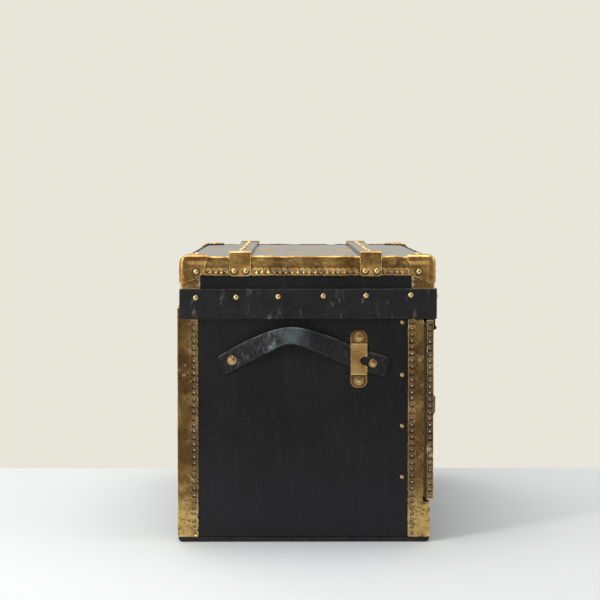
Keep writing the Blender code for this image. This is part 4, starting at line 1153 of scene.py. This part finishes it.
# ---- studio -------------------------------------------------------------------------------
def build_floor():
    near_x, far_x, half_y = -7.0, 0.52, 6.0
    mesh = bpy.data.meshes.new("floor")
    mesh.from_pydata([(near_x, -half_y, 0.0), (far_x, -half_y, 0.0), (far_x, half_y, 0.0),
                      (near_x, half_y, 0.0)], [], [(0, 1, 2, 3)])
    f = Finish("pale_floor", 0.85)
    f.set("Base Color", f.mix(f.noise(1.2, 3.0), (0.70, 0.742, 0.785), (0.745, 0.785, 0.825)))
    f.bump(f.noise(5.0, 3.0), 0.004, 0.25)
    mesh.materials.append(f.material)
    floor = stand("floor", mesh)


def build_world():
    """Soft surroundings: a pale wall on the far side, darker behind the camera and to one
    side of it."""
    world = bpy.data.worlds.new("studio")
    bpy.context.scene.world = world
    world.use_nodes = True
    nodes = Nodes(world.node_tree)
    way = nodes.node("ShaderNodeSeparateXYZ",
                     nodes.node("ShaderNodeTexCoord").outputs["Generated"])
    bright = nodes.step(nodes.math("MULTIPLY_ADD", way.outputs[1], 0.45, way.outputs[0]), -0.9,
                        0.5)
    back = nodes.tree.nodes["Background"]
    nodes.feed(back.inputs["Color"], nodes.mix(bright, (0.180, 0.174, 0.168),
                                               (0.81, 0.785, 0.70)))
    back.inputs["Strength"].default_value = 1.0


def build_lights():
    for name, place, target, size, power, colour in (
            ("key", (-2.4, 2.3, 1.7), (-0.3, 0.0, 0.35), (0.7, 2.0), 50.0, (1.0, 0.97, 0.92)),
            ("top", (-0.3, 0.2, 3.0), (0.0, 0.0, 0.3), (2.2, 2.2), 44.0, (1.0, 0.99, 0.97)),
            ("front_fill", (-1.4, -2.8, 1.6), (0.0, 0.0, 0.3), (1.6, 1.6), 14.0,
             (0.95, 0.97, 1.0)),
            ("back_fill", (2.4, 1.6, 1.8), (0.0, 0.0, 0.3), (1.6, 1.6), 16.0,
             (1.0, 0.98, 0.95))):
        lamp = bpy.data.lights.new(name, "AREA")
        lamp.shape = "RECTANGLE"
        lamp.size, lamp.size_y = size
        lamp.energy = power
        lamp.color = colour
        aim(stand(name, lamp), place, Vector(target) - Vector(place))


def set_view():
    view = bpy.context.scene.view_settings
    view.view_transform = "Standard"
    view.look = "None"


def build_camera():
    """Camera nearly square to the left end, a little above it."""
    pitch, yaw = math.radians(2.0), math.radians(0.29)
    look = Vector((math.cos(pitch) * math.cos(yaw), -math.cos(pitch) * math.sin(yaw),
                   -math.sin(pitch)))
    data = bpy.data.cameras.new("camera")
    data.sensor_width = 36.0
    data.lens = 96.6
    data.shift_y = -0.078
    camera = stand("camera", data)
    aim(camera, (-3.98, 0.030, 0.761), look)
    bpy.context.scene.camera = camera


build_edging()
build_lid_corners()
build_caps_and_clamps()
build_slat_nails()
build_valance()
build_valance_studs()
build_panel_pins()
build_end_handles()
build_front_handle()
finish_cad_pieces()
build_floor()
build_world()
build_lights()
set_view()
build_camera()
